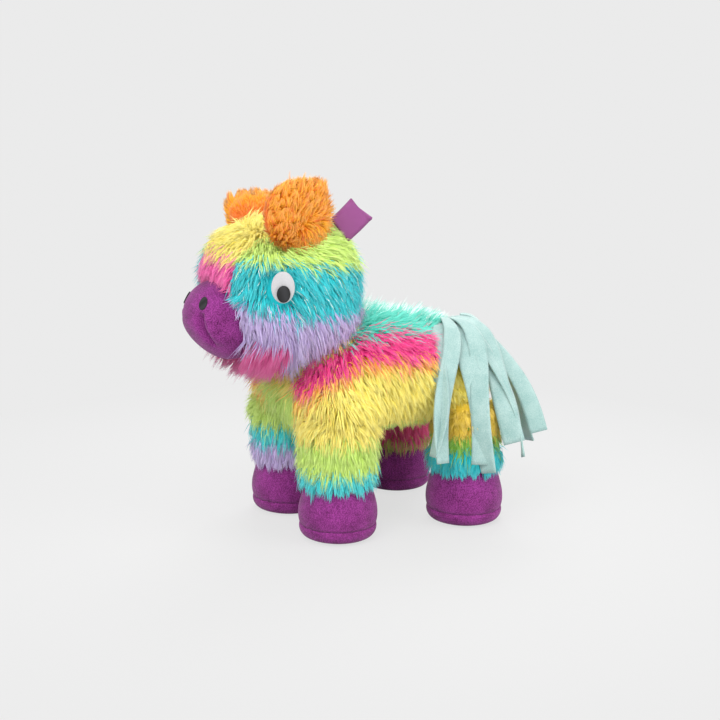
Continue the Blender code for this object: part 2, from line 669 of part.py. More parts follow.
def build_tail(root):
    """The sewn binding and the strips round it."""
    base = tail_base()
    drop = PLUSH / 2
    profile = [(0.0, BINDING_HEIGHT), (BINDING_TOP_RADIUS, BINDING_HEIGHT),
               (BINDING_RADIUS, BINDING_SHOULDER), (BINDING_RADIUS, -drop), (0.0, -drop)]
    binding = turned("tail_binding", profile, base, BINDING_SEGMENTS)
    seat = as_cutter(torso_form("binding_seat_cut", SEAM_GAP))
    combine(binding, [seat])
    hang(binding, root, Vector(), MINT, FELT_ROUGHNESS)
    return [build_strip(root, index, bearing) for index, bearing in enumerate(strip_bearings())]


def centre_on_floor(root):
    """Move the toy so that its box stands centred on the origin, and return the move."""
    bpy.context.view_layer.update()
    graph = bpy.context.evaluated_depsgraph_get()
    corners = []
    for obj in bpy.data.objects:
        if obj.type == 'MESH' and not obj.hide_render:
            solid = obj.evaluated_get(graph)
            corners += [solid.matrix_world @ vert.co for vert in solid.data.vertices]
    low = [min(point[axis] for point in corners) for axis in range(3)]
    high = [max(point[axis] for point in corners) for axis in range(3)]
    root.location = (-(low[0] + high[0]) / 2, -(low[1] + high[1]) / 2, -low[2])
    return root.location.copy()


def main():
    """Build the toy, centre it and print where its joints lie."""
    clear_scene()
    root = empty_at("toy", Vector(), None)
    socket, underside, neckline = neck_cutters()
    hips = leg_places()
    build_torso(root, socket, neckline, hips)
    nod = build_head(root, socket, underside)
    build_face(nod)
    build_ears(nod)
    tag_base, tag_along = build_tag(nod)
    build_legs(root, hips)
    strips = build_tail(root)
    for obj in bpy.data.objects:
        if obj.hide_render:
            obj.parent = root
    move = centre_on_floor(root)
    joints = {"neck": (NECK_CENTRE, NECK_AXIS), "tag": (tag_base, tag_along)}
    joints.update({f"hip_{name}": (hip, Vector((1.0, 0.0, 0.0))) for name, hip in hips.items()})
    for side, sign in SIDES.items():
        place, axes = ear_frame(sign)
        joints[f"ear_{side}"] = (place, axes.col[0])
    joints.update({f"strip_{number}": joint for number, joint in enumerate(strips, 1)})
    for name, (place, axis) in joints.items():
        print("joint", name, [round(value, 5) for value in place + move], [round(value, 5) for value in axis])


main()
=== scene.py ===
"""Plush toy donkey: striped shaggy pile, velboa muzzle and hooves and a felt tail, on a pale floor.

Lengths are in metres, +Z is up and the toy faces -Y. Each plush piece is a stuffed skin that carries
a pile of tapered strands; the strands take their dye from a chart through the map named OFBake, and
their height on that map sets a painted shade at the root and a painted highlight at the tip.
"""

import json
import logging
import math
from dataclasses import dataclass, field
from enum import Enum
from typing import Callable

import bpy
import numpy as np
from mathutils import Matrix, Vector


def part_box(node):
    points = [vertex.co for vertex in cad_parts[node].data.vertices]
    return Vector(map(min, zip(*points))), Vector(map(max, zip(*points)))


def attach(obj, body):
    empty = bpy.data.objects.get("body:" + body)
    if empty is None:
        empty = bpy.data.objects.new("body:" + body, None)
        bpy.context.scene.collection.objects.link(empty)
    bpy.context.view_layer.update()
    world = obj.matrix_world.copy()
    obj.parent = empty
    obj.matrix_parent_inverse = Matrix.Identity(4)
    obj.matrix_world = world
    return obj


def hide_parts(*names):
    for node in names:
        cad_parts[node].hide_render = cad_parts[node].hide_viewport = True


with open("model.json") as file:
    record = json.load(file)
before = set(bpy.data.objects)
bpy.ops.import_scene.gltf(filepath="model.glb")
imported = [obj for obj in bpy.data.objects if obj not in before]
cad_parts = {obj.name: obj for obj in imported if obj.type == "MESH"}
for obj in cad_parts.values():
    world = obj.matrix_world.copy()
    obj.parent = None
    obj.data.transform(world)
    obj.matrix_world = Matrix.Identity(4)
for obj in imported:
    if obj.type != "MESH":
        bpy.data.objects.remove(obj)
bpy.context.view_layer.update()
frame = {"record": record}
LOG = logging.getLogger("plush_donkey")
Array = np.ndarray
Field = Callable[[Array], Array]
PILE_MAP = "OFBake"
TRIAL_SCALE = 20.0
JOINTS = {joint["name"]: joint for joint in frame["record"]["behaviour"]["joints"]}


def joint_place(name: str) -> Array:
    """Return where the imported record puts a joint."""
    return np.array(JOINTS[name]["pos_m"], float)


def joint_axis(name: str) -> Array:
    """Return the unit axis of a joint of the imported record."""
    axis = np.array(JOINTS[name]["axis"], float)
    return axis / np.linalg.norm(axis)


def unit(vectors: Array) -> Array:
    """Return vectors scaled to length one along their last axis."""
    return vectors / np.maximum(np.linalg.norm(vectors, axis=-1, keepdims=True), 1e-9)


def linear(red: float, green: float, blue: float) -> tuple[float, float, float]:
    """Return a display colour of 0 to 255 as linear light.

    Args:
        red: Red of the display colour.
        green: Green of the display colour.
        blue: Blue of the display colour.

    Returns:
        The linear red, green and blue.
    """
    share = np.array((red, green, blue)) / 255.0
    low = share / 12.92
    high = ((share + 0.055) / 1.055) ** 2.4
    return tuple(float(value) for value in np.where(share <= 0.04045, low, high))


class Side(Enum):
    """The toy's left or right, with its sign along X."""

    LEFT = 1.0
    RIGHT = -1.0

    @property
    def word(self) -> str:
        """The side's name in lower case."""
        return self.name.lower()


class Dye(Enum):
    """Dyes of the pile, each with its place on the dye chart."""

    SNOW = 0
    MINT = 1
    HOT_PINK = 2
    ROSE = 3
    AMBER = 4
    GOLD = 5
    LEMON = 6
    LIME = 7
    AQUA = 8
    TEAL = 9
    LILAC = 10
    CRIMSON = 11
    OLIVE = 12
    TANGERINE = 13
    MANDARIN = 14
    LEAF = 15


DYE_CHART: dict[Dye, tuple[tuple[float, float, float], tuple[float, float, float]]] = {
    Dye.SNOW: (linear(205, 240, 228), linear(244, 252, 248)),
    Dye.MINT: (linear(24, 196, 172), linear(88, 222, 200)),
    Dye.HOT_PINK: (linear(240, 20, 122), linear(252, 66, 156)),
    Dye.ROSE: (linear(242, 66, 156), linear(254, 118, 188)),
    Dye.AMBER: (linear(254, 150, 36), linear(255, 192, 78)),
    Dye.GOLD: (linear(228, 186, 40), linear(246, 214, 80)),
    Dye.LEMON: (linear(250, 224, 70), linear(255, 244, 136)),
    Dye.LIME: (linear(188, 228, 84), linear(220, 248, 136)),
    Dye.AQUA: (linear(24, 200, 206), linear(80, 230, 230)),
    Dye.TEAL: (linear(4, 186, 198), linear(36, 218, 224)),
    Dye.LILAC: (linear(182, 156, 218), linear(216, 200, 238)),
    Dye.CRIMSON: (linear(214, 36, 100), linear(232, 84, 142)),
    Dye.OLIVE: (linear(160, 176, 52), linear(194, 210, 90)),
    Dye.TANGERINE: (linear(247, 145, 2), linear(251, 184, 26)),
    Dye.MANDARIN: (linear(233, 103, 2), linear(245, 136, 14)),
    Dye.LEAF: (linear(120, 192, 56), linear(160, 214, 90)),
}


def write_mesh(name: str, points: Array, quads: Array, triangles: Array,
               corners: Array | None = None) -> bpy.types.Object:
    """Put whole arrays into a new smooth-shaded mesh object.

    Args:
        name: Name of the piece.
        points: Vertex positions, one row each.
        quads: Four vertex numbers a row.
        triangles: Three vertex numbers a row.
        corners: Map coordinates of each face corner, quads first, or None.

    Returns:
        The new object, linked to the scene.
    """
    mesh = bpy.data.meshes.new(name)
    loops = np.concatenate([quads.ravel(), triangles.ravel()]).astype(np.int32)
    starts = np.concatenate([np.arange(len(quads)) * 4, quads.size + np.arange(len(triangles)) * 3])
    mesh.vertices.add(len(points))
    mesh.vertices.foreach_set("co", np.ascontiguousarray(points, np.float32).ravel())
    mesh.loops.add(len(loops))
    mesh.loops.foreach_set("vertex_index", loops)
    mesh.polygons.add(len(starts))
    mesh.polygons.foreach_set("loop_start", starts.astype(np.int32))
    if corners is not None:
        layer = mesh.uv_layers.new(name=PILE_MAP)
        layer.uv.foreach_set("vector", np.ascontiguousarray(corners, np.float32).ravel())
    mesh.update(calc_edges=True)
    mesh.shade_smooth()
    piece = bpy.data.objects.new(name, mesh)
    bpy.context.collection.objects.link(piece)
    return piece


def finish_piece(piece: bpy.types.Object, body: str, material: bpy.types.Material, slot: str,
                 *nodes: str) -> bpy.types.Object:
    """Dress a piece, let it ride on its body and stand for its CAD nodes.

    Args:
        piece: The finished piece.
        body: The CAD body that it moves with.
        material: Its finish.
        slot: The record's material slot; not used.
        nodes: CAD nodes that it stands for.

    Returns:
        The same piece.
    """
    piece.data.materials.clear()
    piece.data.materials.append(material)
    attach(piece, body)
    if nodes:
        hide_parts(*nodes)
    LOG.info("%s rides on %s", piece.name, body)
    return piece


@dataclass
class Skin:
    """A closed form on a grid of rows from its top pole down and columns round it.

    Attributes:
        points: Positions, [rows, columns, 3].
        normals: Outward directions of the same shape.
        poles: Top and bottom end points.
    """

    points: Array
    normals: Array
    poles: tuple[Array, Array]

    def sample(self, count: int, rng: np.random.Generator) -> tuple[Array, Array]:
        """Scatter points evenly by area, each at a random place in a cell of the grid.

        Args:
            count: How many points.
            rng: Seeded random source.

        Returns:
            The points and the outward directions there.
        """
        here, beside = self.points, np.roll(self.points, -1, axis=1)
        across, down = beside[:-1] - here[:-1], here[1:] - here[:-1]
        area = np.linalg.norm(np.cross(across, down), axis=-1).ravel()
        pick = rng.choice(area.size, count, p=area / area.sum())
        s, t = rng.random((2, count, 1))

        def between(grid: Array) -> Array:
            """Blend the four corners of each picked cell."""
            side = np.roll(grid, -1, axis=1)
            corners = [part.reshape(-1, 3)[pick] for part in (grid[:-1], side[:-1], grid[1:], side[1:])]
            top = corners[0] * (1.0 - s) + corners[1] * s
            return top * (1.0 - t) + (corners[2] * (1.0 - s) + corners[3] * s) * t

        return between(self.points), unit(between(self.normals))

    def cells(self) -> tuple[Array, Array, Array]:
        """Return all points with the poles last, the quads, and the fans at the poles."""
        rows, columns = self.points.shape[:2]
        number = np.arange(rows * columns).reshape(rows, columns)
        after = np.roll(number, -1, axis=1)
        quads = np.stack([number[:-1], number[1:], after[1:], after[:-1]], axis=-1).reshape(-1, 4)
        top, bottom = rows * columns, rows * columns + 1
        upper = np.stack([np.full(columns, top), number[0], after[0]], axis=-1)
        lower = np.stack([np.full(columns, bottom), after[-1], number[-1]], axis=-1)
        points = np.vstack([self.points.reshape(-1, 3), *[pole[None] for pole in self.poles]])
        return points, quads, np.vstack([upper, lower])

    def renew_normals(self) -> None:
        """Work the outward directions out again from the grid, after its points have moved."""
        across = np.roll(self.points, -1, axis=1) - np.roll(self.points, 1, axis=1)
        fresh = unit(np.cross(np.gradient(self.points, axis=0), across))
        facing = np.sign(np.sum(fresh * self.normals, axis=-1, keepdims=True))
        self.normals = fresh * np.where(facing == 0.0, 1.0, facing)

    def stuff(self, sewn: Array, cap: float, pressure: float = 40.0, frames: int = 20) -> None:
        """Swell the form by a cloth simulation under the pressure of its stuffing.

        Cloth hardly moves at this size, so a trial piece TRIAL_SCALE times as large is simulated.

        Args:
            sewn: Which grid points are held by seams, [rows, columns].
            cap: The most that a point may move.
            pressure: Pressure inside the trial piece.
            frames: How many frames are simulated.
        """
        points = self.cells()[0]
        middle = points.mean(axis=0)
        ends = tuple((pole - middle) * TRIAL_SCALE for pole in self.poles)
        piece = Skin((self.points - middle) * TRIAL_SCALE, self.normals, ends).object("stuffing_trial")
        held = np.append(np.flatnonzero(sewn.ravel()), (len(points) - 2, len(points) - 1))
        piece.vertex_groups.new(name="sewn").add(held.tolist(), 1.0, 'REPLACE')
        cloth = piece.modifiers.new("cloth", 'CLOTH')
        cloth.settings.vertex_group_mass = "sewn"
        cloth.settings.use_pressure = True
        cloth.settings.uniform_pressure_force = pressure
        cloth.settings.tension_stiffness = cloth.settings.compression_stiffness = 5.0
        cloth.settings.effector_weights.gravity = 0.0
        cloth.point_cache.frame_end = frames
        for number in range(1, frames + 1):
            bpy.context.scene.frame_set(number)
        swollen = np.empty(points.size)
        piece.evaluated_get(bpy.context.evaluated_depsgraph_get()).data.vertices.foreach_get("co", swollen)
        moved = swollen.reshape(-1, 3) / TRIAL_SCALE + middle - points
        moved *= np.minimum(1.0, cap / np.maximum(np.linalg.norm(moved, axis=-1, keepdims=True), 1e-9))
        self.points = self.points + moved[:-2].reshape(self.points.shape)
        self.renew_normals()
        bpy.data.meshes.remove(piece.data)
        bpy.context.scene.frame_set(1)

    def object(self, name: str) -> bpy.types.Object:
        """Return the form as a closed mesh without a map."""
        points, quads, fans = self.cells()
        return write_mesh(name, points, quads, fans)

    def dyed_object(self, name: str, dye: Field, height: float = 0.16) -> bpy.types.Object:
        """Return the form as a closed mesh whose faces take the dye of the pile above them, deepened as
        painted shade.

        Args:
            name: Name of the piece.
            dye: Gives the dye number of each point.
            height: Place along the strand whose painted shade the skin takes.

        Returns:
            The mesh object.
        """
        points, quads, fans = self.cells()
        faces = [points[quads].mean(axis=1), points[fans].mean(axis=1)]
        rings = [np.array(((-1, -1), (1, -1), (1, 1), (-1, 1))), np.array(((-1, -1), (1, -1), (0, 1)))]
        corners = []
        for middle, ring in zip(faces, rings):
            # A deeper tint and the strand's painted root shade darken the skin as painted shade beneath the
            # pile.
            place = chart_place(dye(middle), np.full(len(middle), 0.3))
            spot = np.stack([place, np.full(len(middle), height)], axis=-1)
            corners.append((spot[:, None] + ring[None] * np.array((0.002, 0.02))).reshape(-1, 2))
        return write_mesh(name, points, quads, fans, np.vstack(corners))


def chart_place(dye: Array, tint: Array) -> Array:
    """Return the chart coordinate of dye numbers, from their deep end at tint 0 to their light end at 1."""
    return (dye + 0.15 + 0.7 * np.clip(tint, 0.0, 1.0)) / len(Dye)


def rounded_skin(centre: Array, half: Array, power: float, rows: int = 48, columns: int = 72) -> Skin:
    """A rounded box: |x/a|^p + |y/b|^p + |z/c|^p = 1 about a centre, its poles up and down.

    Args:
        centre: Middle of the form.
        half: Half sizes a, b and c.
        power: The exponent p; 2 is an ellipsoid and more is boxier.
        rows: Rows between the poles.
        columns: Columns round it.

    Returns:
        The form.
    """
    polar = (np.arange(rows) + 0.5)[:, None] * math.pi / rows
    around = np.arange(columns)[None, :] * 2.0 * math.pi / columns
    way = np.stack([np.sin(polar) * np.cos(around), np.sin(polar) * np.sin(around),
                    np.cos(polar) + 0.0 * around], axis=-1)
    spot = way * np.sum(np.abs(way) ** power, axis=-1, keepdims=True) ** (-1.0 / power)
    normals = unit(np.sign(spot) * np.abs(spot) ** (power - 1.0) / half)
    tip = np.array((0.0, 0.0, half[2]))
    return Skin(centre + spot * half, normals, (centre + tip, centre - tip))


def turned_skin(centre: Array, radii: Array, heights: Array, columns: int = 64, wobble: float = 0.0) -> Skin:
    """A profile of radius and height, top first, turned about an upright axis.

    Args:
        centre: A point on the axis that heights count from.
        radii: Radius of each row.
        heights: Height of each row.
        columns: Columns round it.
        wobble: Share by which three soft waves round it change the radius.

    Returns:
        The form, closed flat at both ends.
    """
    around = np.arange(columns) * 2.0 * math.pi / columns
    ripple = 0.6 * np.sin(3 * around + 2.1 + heights[:, None] * 60.0)
    wave = 1.0 + wobble * (np.sin(2 * around + 0.7) + ripple)
    reach = radii[:, None] * wave
    points = np.stack([reach * np.cos(around), reach * np.sin(around),
                       heights[:, None] + 0.0 * around], axis=-1)
    out, rise = -np.gradient(heights), np.gradient(radii)
    normals = unit(np.stack([out[:, None] * np.cos(around), out[:, None] * np.sin(around),
                             rise[:, None] + 0.0 * around], axis=-1))
    ends = (np.array((0.0, 0.0, heights[0])), np.array((0.0, 0.0, heights[-1])))
    return Skin(points + centre, normals, (ends[0] + centre, ends[1] + centre))


@dataclass(frozen=True)
class PileCut:
    """How a pile is cut and combed.

    Attributes:
        length: Mean strand length.
        uneven: Share by which lengths vary.
        radius: Strand radius at its root.
        lean: Angle from the skin's normal, half way up the strand, in radians.
        clump: Share by which tips draw together into tufts.
        tuft: Size of a tuft.
        shag: How far a tuft's tip strays.
        stray: How far a single strand strays.
        skin_shade: Share by which strands are lit as the skin beneath them.
    """

    length: float = 0.0130
    uneven: float = 0.22
    radius: float = 0.00030
    lean: float = 1.12
    clump: float = 0.55
    tuft: float = 0.0036
    shag: float = 0.0016
    stray: float = 0.12
    skin_shade: float = 0.7


def all_ones(roots: Array) -> Array:
    """Give every root a one."""
    return np.ones(len(roots))


def all_zeros(roots: Array) -> Array:
    """Give every root a nought."""
    return np.zeros(len(roots))


@dataclass
class Pile:
    """A pile of tapered three-sided strands on a skin.

    Attributes:
        skin: Where the strands stand.
        cut: How they are cut.
        count: How many are scattered before the bare places are taken out.
        seed: Seed of the scatter.
        dye: Gives the dye number at each root.
        comb: Gives the direction that strands are combed in.
        keep: Tells which roots bear a strand.
        stretch: Gives the length share at each root.
        upright: Gives a share by which the lean is lessened at each root.
    """

    skin: Skin
    cut: PileCut
    count: int
    seed: int
    dye: Field
    comb: Field
    keep: Field
    stretch: Field = all_ones
    upright: Field = all_zeros

    def paths(self, rng: np.random.Generator) -> tuple[Array, Array, Array]:
        """Work out each strand's three points.

        A strand leaves the skin near its normal and bends towards the combed direction in two equal
        steps. Strands of one tuft draw towards their mean path, and each tuft strays as a whole.

        Args:
            rng: Seeded random source.

        Returns:
            Points [strands, 3, 3], outward directions and roots.
        """
        cut = self.cut
        roots, normals = self.skin.sample(self.count, rng)
        kept = self.keep(roots)
        roots, normals = roots[kept], normals[kept]
        total = len(roots)
        comb = self.comb(roots)
        lie = unit(comb - np.sum(comb * normals, axis=-1, keepdims=True) * normals + 1e-6)
        lie = unit(lie + cut.stray * rng.standard_normal((total, 3)))
        lean = cut.lean * (1.0 - self.upright(roots)) * (1.0 + 0.18 * rng.standard_normal(total))
        vary = np.clip(1.0 + cut.uneven * rng.standard_normal(total), 0.5, 1.5)
        length = cut.length * self.stretch(roots) * vary
        step = (length / 2.0)[:, None]
        spots = [roots - normals * 0.0012]
        for bend in (0.62, 1.3):
            angle = np.clip(lean * bend, 0.05, 1.75)[:, None]
            spots.append(spots[-1] + (normals * np.cos(angle) + lie * np.sin(angle)) * step)
        paths = np.stack(spots, axis=1)
        warped = roots + 0.0025 * np.sin(roots[:, [1, 2, 0]] * 420.0)
        warped = warped + 0.0011 * np.sin(roots[:, [2, 0, 1]] * 1300.0)
        tufts, member = np.unique(np.floor(warped / cut.tuft).astype(np.int64), axis=0, return_inverse=True)
        member = member.ravel()
        size = np.bincount(member)[:, None, None]
        mean = np.zeros((len(tufts), 3, 3))
        np.add.at(mean, member, paths)
        mean /= size
        pull = np.array((0.0, 0.35, 1.0))[None, :, None] * cut.clump
        paths += (mean[member] - paths) * pull
        tilt = cut.shag * rng.standard_normal((len(tufts), 3))
        paths += tilt[member][:, None] * np.array((0.0, 0.3, 1.0))[None, :, None]
        return paths, normals, roots

    def object(self, name: str) -> bpy.types.Object:
        """Build the strands as one mesh, each closed, with two rings of three points and a tip.

        Args:
            name: Name of the piece.

        Returns:
            The mesh object, with its dye map.
        """
        rng = np.random.default_rng(self.seed)
        paths, normals, roots = self.paths(rng)
        total = len(paths)
        along = unit(np.stack([paths[:, 1] - paths[:, 0], paths[:, 2] - paths[:, 0]], axis=1))
        side = unit(np.cross(along, normals[:, None] + 0.01))
        other = np.cross(along, side)
        spin = rng.random((total, 1, 1)) * 2.0 * math.pi + np.arange(3)[None, None, :] * 2.0 * math.pi / 3.0
        thick = self.cut.radius * rng.uniform(0.75, 1.25, (total, 1)) * np.array((1.0, 0.8))[None, :]
        ring = np.cos(spin)[..., None] * side[:, :, None] + np.sin(spin)[..., None] * other[:, :, None]
        rings = paths[:, :2, None] + ring * thick[:, :, None, None]
        points = np.concatenate([rings.reshape(total, 6, 3), paths[:, 2:]], axis=1)
        wall = [[turn, (turn + 1) % 3, 3 + (turn + 1) % 3, 3 + turn] for turn in range(3)]
        caps = [[3 + turn, 3 + (turn + 1) % 3, 6] for turn in range(3)] + [[2, 1, 0]]
        first = (np.arange(total) * 7)[:, None, None]
        quads = (first + np.array(wall)[None]).reshape(-1, 4)
        fans = (first + np.array(caps)[None]).reshape(-1, 3)
        place = chart_place(self.dye(roots), rng.random(total))
        around = np.array([-1.0, 0.0, 1.0] * 2 + [0.0]) * 0.0016
        # Height on the map along each strand: near 0 at the root for its painted shade, near 1 at the tip for
        # its painted highlight.
        rise = np.array([0.02] * 3 + [0.5] * 3 + [0.98])
        beside = place[:, None] + around[None]
        spots = np.stack([beside, np.broadcast_to(rise, beside.shape)], axis=-1).reshape(-1, 2)
        corners = np.vstack([spots[quads.ravel()], spots[fans.ravel()]])
        piece = write_mesh(name, points.reshape(-1, 3), quads, fans, corners)
        outward = np.concatenate([ring.reshape(total, 6, 3), along[:, 1:]], axis=1)
        share = self.cut.skin_shade
        soft = unit(outward * (1.0 - share) + normals[:, None] * share)
        piece.data.normals_split_custom_set_from_vertices(soft.reshape(-1, 3))
        return piece


def banded(values: Array, edges: list[float], dyes: list[Dye], rng_seed: int, soft: float = 0.0025) -> Array:
    """Choose dyes by bands of a value, with soft edges where strands of both neighbours mix.

    Args:
        values: The value at each root.
        edges: Rising band limits.
        dyes: One dye more than there are edges, lowest band first.
        rng_seed: Seed of the mixing.
        soft: Spread of the mixing.

    Returns:
        Dye numbers.
    """
    rng = np.random.default_rng(rng_seed)
    mixed = values + soft * rng.standard_normal(len(values))
    numbers = np.array([dye.value for dye in dyes])
    return numbers[np.searchsorted(np.array(edges), mixed)].astype(float)


class NodeSheet:
    """Small helper that adds and joins shader nodes of one material or group."""

    def __init__(self, tree: bpy.types.NodeTree) -> None:
        """Keep the node tree that nodes go into."""
        self.tree = tree

    def add(self, kind: str, **settings: object) -> bpy.types.Node:
        """Add a node and set its properties."""
        node = self.tree.nodes.new(kind)
        for key, value in settings.items():
            setattr(node, key, value)
        return node

    def join(self, start: bpy.types.NodeSocket, end: bpy.types.NodeSocket) -> None:
        """Link two sockets."""
        self.tree.links.new(start, end)

    def math(self, operation: str, first: object, second: object = 0.5) -> bpy.types.NodeSocket:
        """Add a math node on sockets or numbers and return its result."""
        node = self.add("ShaderNodeMath", operation=operation)
        for socket, value in zip(node.inputs, (first, second)):
            if isinstance(value, bpy.types.NodeSocket):
                self.join(value, socket)
            else:
                socket.default_value = value
        return node.outputs[0]

    def ramp(self, factor: bpy.types.NodeSocket,
             stops: list[tuple[float, tuple[float, ...]]]) -> bpy.types.NodeSocket:
        """Add a colour ramp through the given stops and return its colour."""
        node = self.add("ShaderNodeValToRGB")
        elements = node.color_ramp.elements
        for spot, _ in stops[2:]:
            elements.new(spot)
        for element, (spot, colour) in zip(elements, stops):
            element.position = spot
            element.color = (*colour, 1.0) if len(colour) == 3 else colour
        self.join(factor, node.inputs[0])
        return node.outputs[0]

    def mix(self, blend: str, factor: object, first: object, second: object) -> bpy.types.NodeSocket:
        """Add a colour mix of sockets or colours and return its result."""
        node = self.add("ShaderNodeMix", data_type='RGBA', blend_type=blend)
        for number, value in ((0, factor), (6, first), (7, second)):
            socket = node.inputs[number]
            if isinstance(value, bpy.types.NodeSocket):
                self.join(value, socket)
            elif number:
                socket.default_value = (*value, 1.0)
            else:
                socket.default_value = value
        return node.outputs[2]


def new_material(name: str) -> tuple[bpy.types.Material, NodeSheet, bpy.types.Node]:
    """Return a new material, its node helper and its Principled shader."""
    material = bpy.data.materials.new(name)
    material.use_nodes = True
    return material, NodeSheet(material.node_tree), material.node_tree.nodes["Principled BSDF"]


@dataclass(frozen=True)
class PileFinish:
    """Dyed pile: the chart's colour, with painted shade at the root and a painted highlight at the tip.

    Attributes:
        name: Material name.
        root_shade: Share of the colour left at the root by the painted shade.
        tip_white: How far the tip fades to white, as a painted highlight.
        roughness: Shader roughness.
        sheen: Weight of the soft sheen.
    """

    name: str = "dyed_pile"
    root_shade: float = 0.88
    tip_white: float = 0.14
    roughness: float = 0.72
    sheen: float = 0.12

    def build(self) -> bpy.types.Material:
        """Return the material."""
        material, sheet, shader = new_material(self.name)
        place = sheet.add("ShaderNodeUVMap", uv_map=PILE_MAP)
        parts = sheet.add("ShaderNodeSeparateXYZ")
        sheet.join(place.outputs[0], parts.inputs[0])
        stops = []
        for dye in Dye:
            deep, light = DYE_CHART[dye]
            stops += [((dye.value + 0.12) / len(Dye), deep), ((dye.value + 0.88) / len(Dye), light)]
        colour = sheet.ramp(parts.outputs[0], stops)
        # Painted shade deepens the colour at the root, and a painted highlight fades the tip towards white.
        root = (self.root_shade,) * 3
        shade = sheet.ramp(parts.outputs[1], [(0.0, root), (0.55, (1.0, 1.0, 1.0)), (1.0, (1.0, 1.0, 1.0))])
        shaded = sheet.mix('MULTIPLY', 1.0, colour, shade)
        fade = sheet.math('MULTIPLY', sheet.math('POWER', parts.outputs[1], 2.5), self.tip_white)
        pale = sheet.mix('MIX', fade, shaded, (0.95, 0.95, 0.93))
        sheet.join(pale, shader.inputs["Base Color"])
        shader.inputs["Roughness"].default_value = self.roughness
        shader.inputs["Sheen Weight"].default_value = self.sheen
        shader.inputs["Specular IOR Level"].default_value = 0.25
        return material


def nap_group() -> bpy.types.NodeTree:
    """Return the shared short-nap effect: a speckle of fine tufts with broad brushed patches."""
    found = bpy.data.node_groups.get("short_nap")
    if found:
        return found
    tree = bpy.data.node_groups.new("short_nap", 'ShaderNodeTree')
    tree.interface.new_socket("Grain", in_out='INPUT', socket_type='NodeSocketFloat').default_value = 1400.0
    tree.interface.new_socket("Brush", in_out='INPUT', socket_type='NodeSocketFloat').default_value = 90.0
    tree.interface.new_socket("Speckle", in_out='OUTPUT', socket_type='NodeSocketFloat')
    tree.interface.new_socket("Patches", in_out='OUTPUT', socket_type='NodeSocketFloat')
    sheet = NodeSheet(tree)
    source = sheet.add("NodeGroupInput")
    result = sheet.add("NodeGroupOutput")
    where = sheet.add("ShaderNodeTexCoord")
    fine = sheet.add("ShaderNodeTexNoise")
    fine.inputs["Detail"].default_value = 3.0
    broad = sheet.add("ShaderNodeTexNoise")
    broad.inputs["Detail"].default_value = 4.0
    for noise, socket in ((fine, 0), (broad, 1)):
        sheet.join(where.outputs["Object"], noise.inputs["Vector"])
        sheet.join(source.outputs[socket], noise.inputs["Scale"])
        sheet.join(noise.outputs["Fac"], result.inputs[socket])
    return tree


@dataclass(frozen=True)
class NapFinish:
    """Short-napped cloth such as velboa, felt or brushed lining.

    Attributes:
        name: Material name.
        deep: Colour between the tufts, a painted shade.
        light: Colour of the brushed tips, a painted highlight.
        grain: Tufts per metre.
        relief: Height of the tufts.
        roughness: Shader roughness.
        sheen: Weight of the soft sheen.
        contrast: How strongly the speckle of painted shade and highlight shows.
    """

    name: str
    deep: tuple[float, float, float]
    light: tuple[float, float, float]
    grain: float = 1400.0
    relief: float = 0.0005
    roughness: float = 0.85
    sheen: float = 0.5
    contrast: float = 0.5

    def build(self) -> bpy.types.Material:
        """Return the material."""
        material, sheet, shader = new_material(self.name)
        nap = sheet.add("ShaderNodeGroup")
        nap.node_tree = nap_group()
        nap.inputs["Grain"].default_value = self.grain
        low, high = 0.5 - 0.5 / (1.0 + 4.0 * self.contrast), 0.5 + 0.5 / (1.0 + 4.0 * self.contrast)
        # The fine speckle paints shade between the tufts and highlights on their tips, and broad brushed
        # patches mix the same two colours.
        tips = sheet.ramp(nap.outputs["Speckle"], [(low, (0.0, 0.0, 0.0)), (high, (1.0, 1.0, 1.0))])
        brushed = sheet.ramp(nap.outputs["Patches"], [(0.35, (0.0, 0.0, 0.0)), (0.65, (1.0, 1.0, 1.0))])
        share = sheet.math('ADD', sheet.math('MULTIPLY', tips, 0.65), sheet.math('MULTIPLY', brushed, 0.35))
        sheet.join(sheet.mix('MIX', share, self.deep, self.light), shader.inputs["Base Color"])
        bump = sheet.add("ShaderNodeBump")
        bump.inputs["Strength"].default_value = 0.6
        bump.inputs["Distance"].default_value = self.relief
        sheet.join(nap.outputs["Speckle"], bump.inputs["Height"])
        sheet.join(bump.outputs[0], shader.inputs["Normal"])
        shader.inputs["Roughness"].default_value = self.roughness
        shader.inputs["Sheen Weight"].default_value = self.sheen
        shader.inputs["Specular IOR Level"].default_value = 0.2
        return material


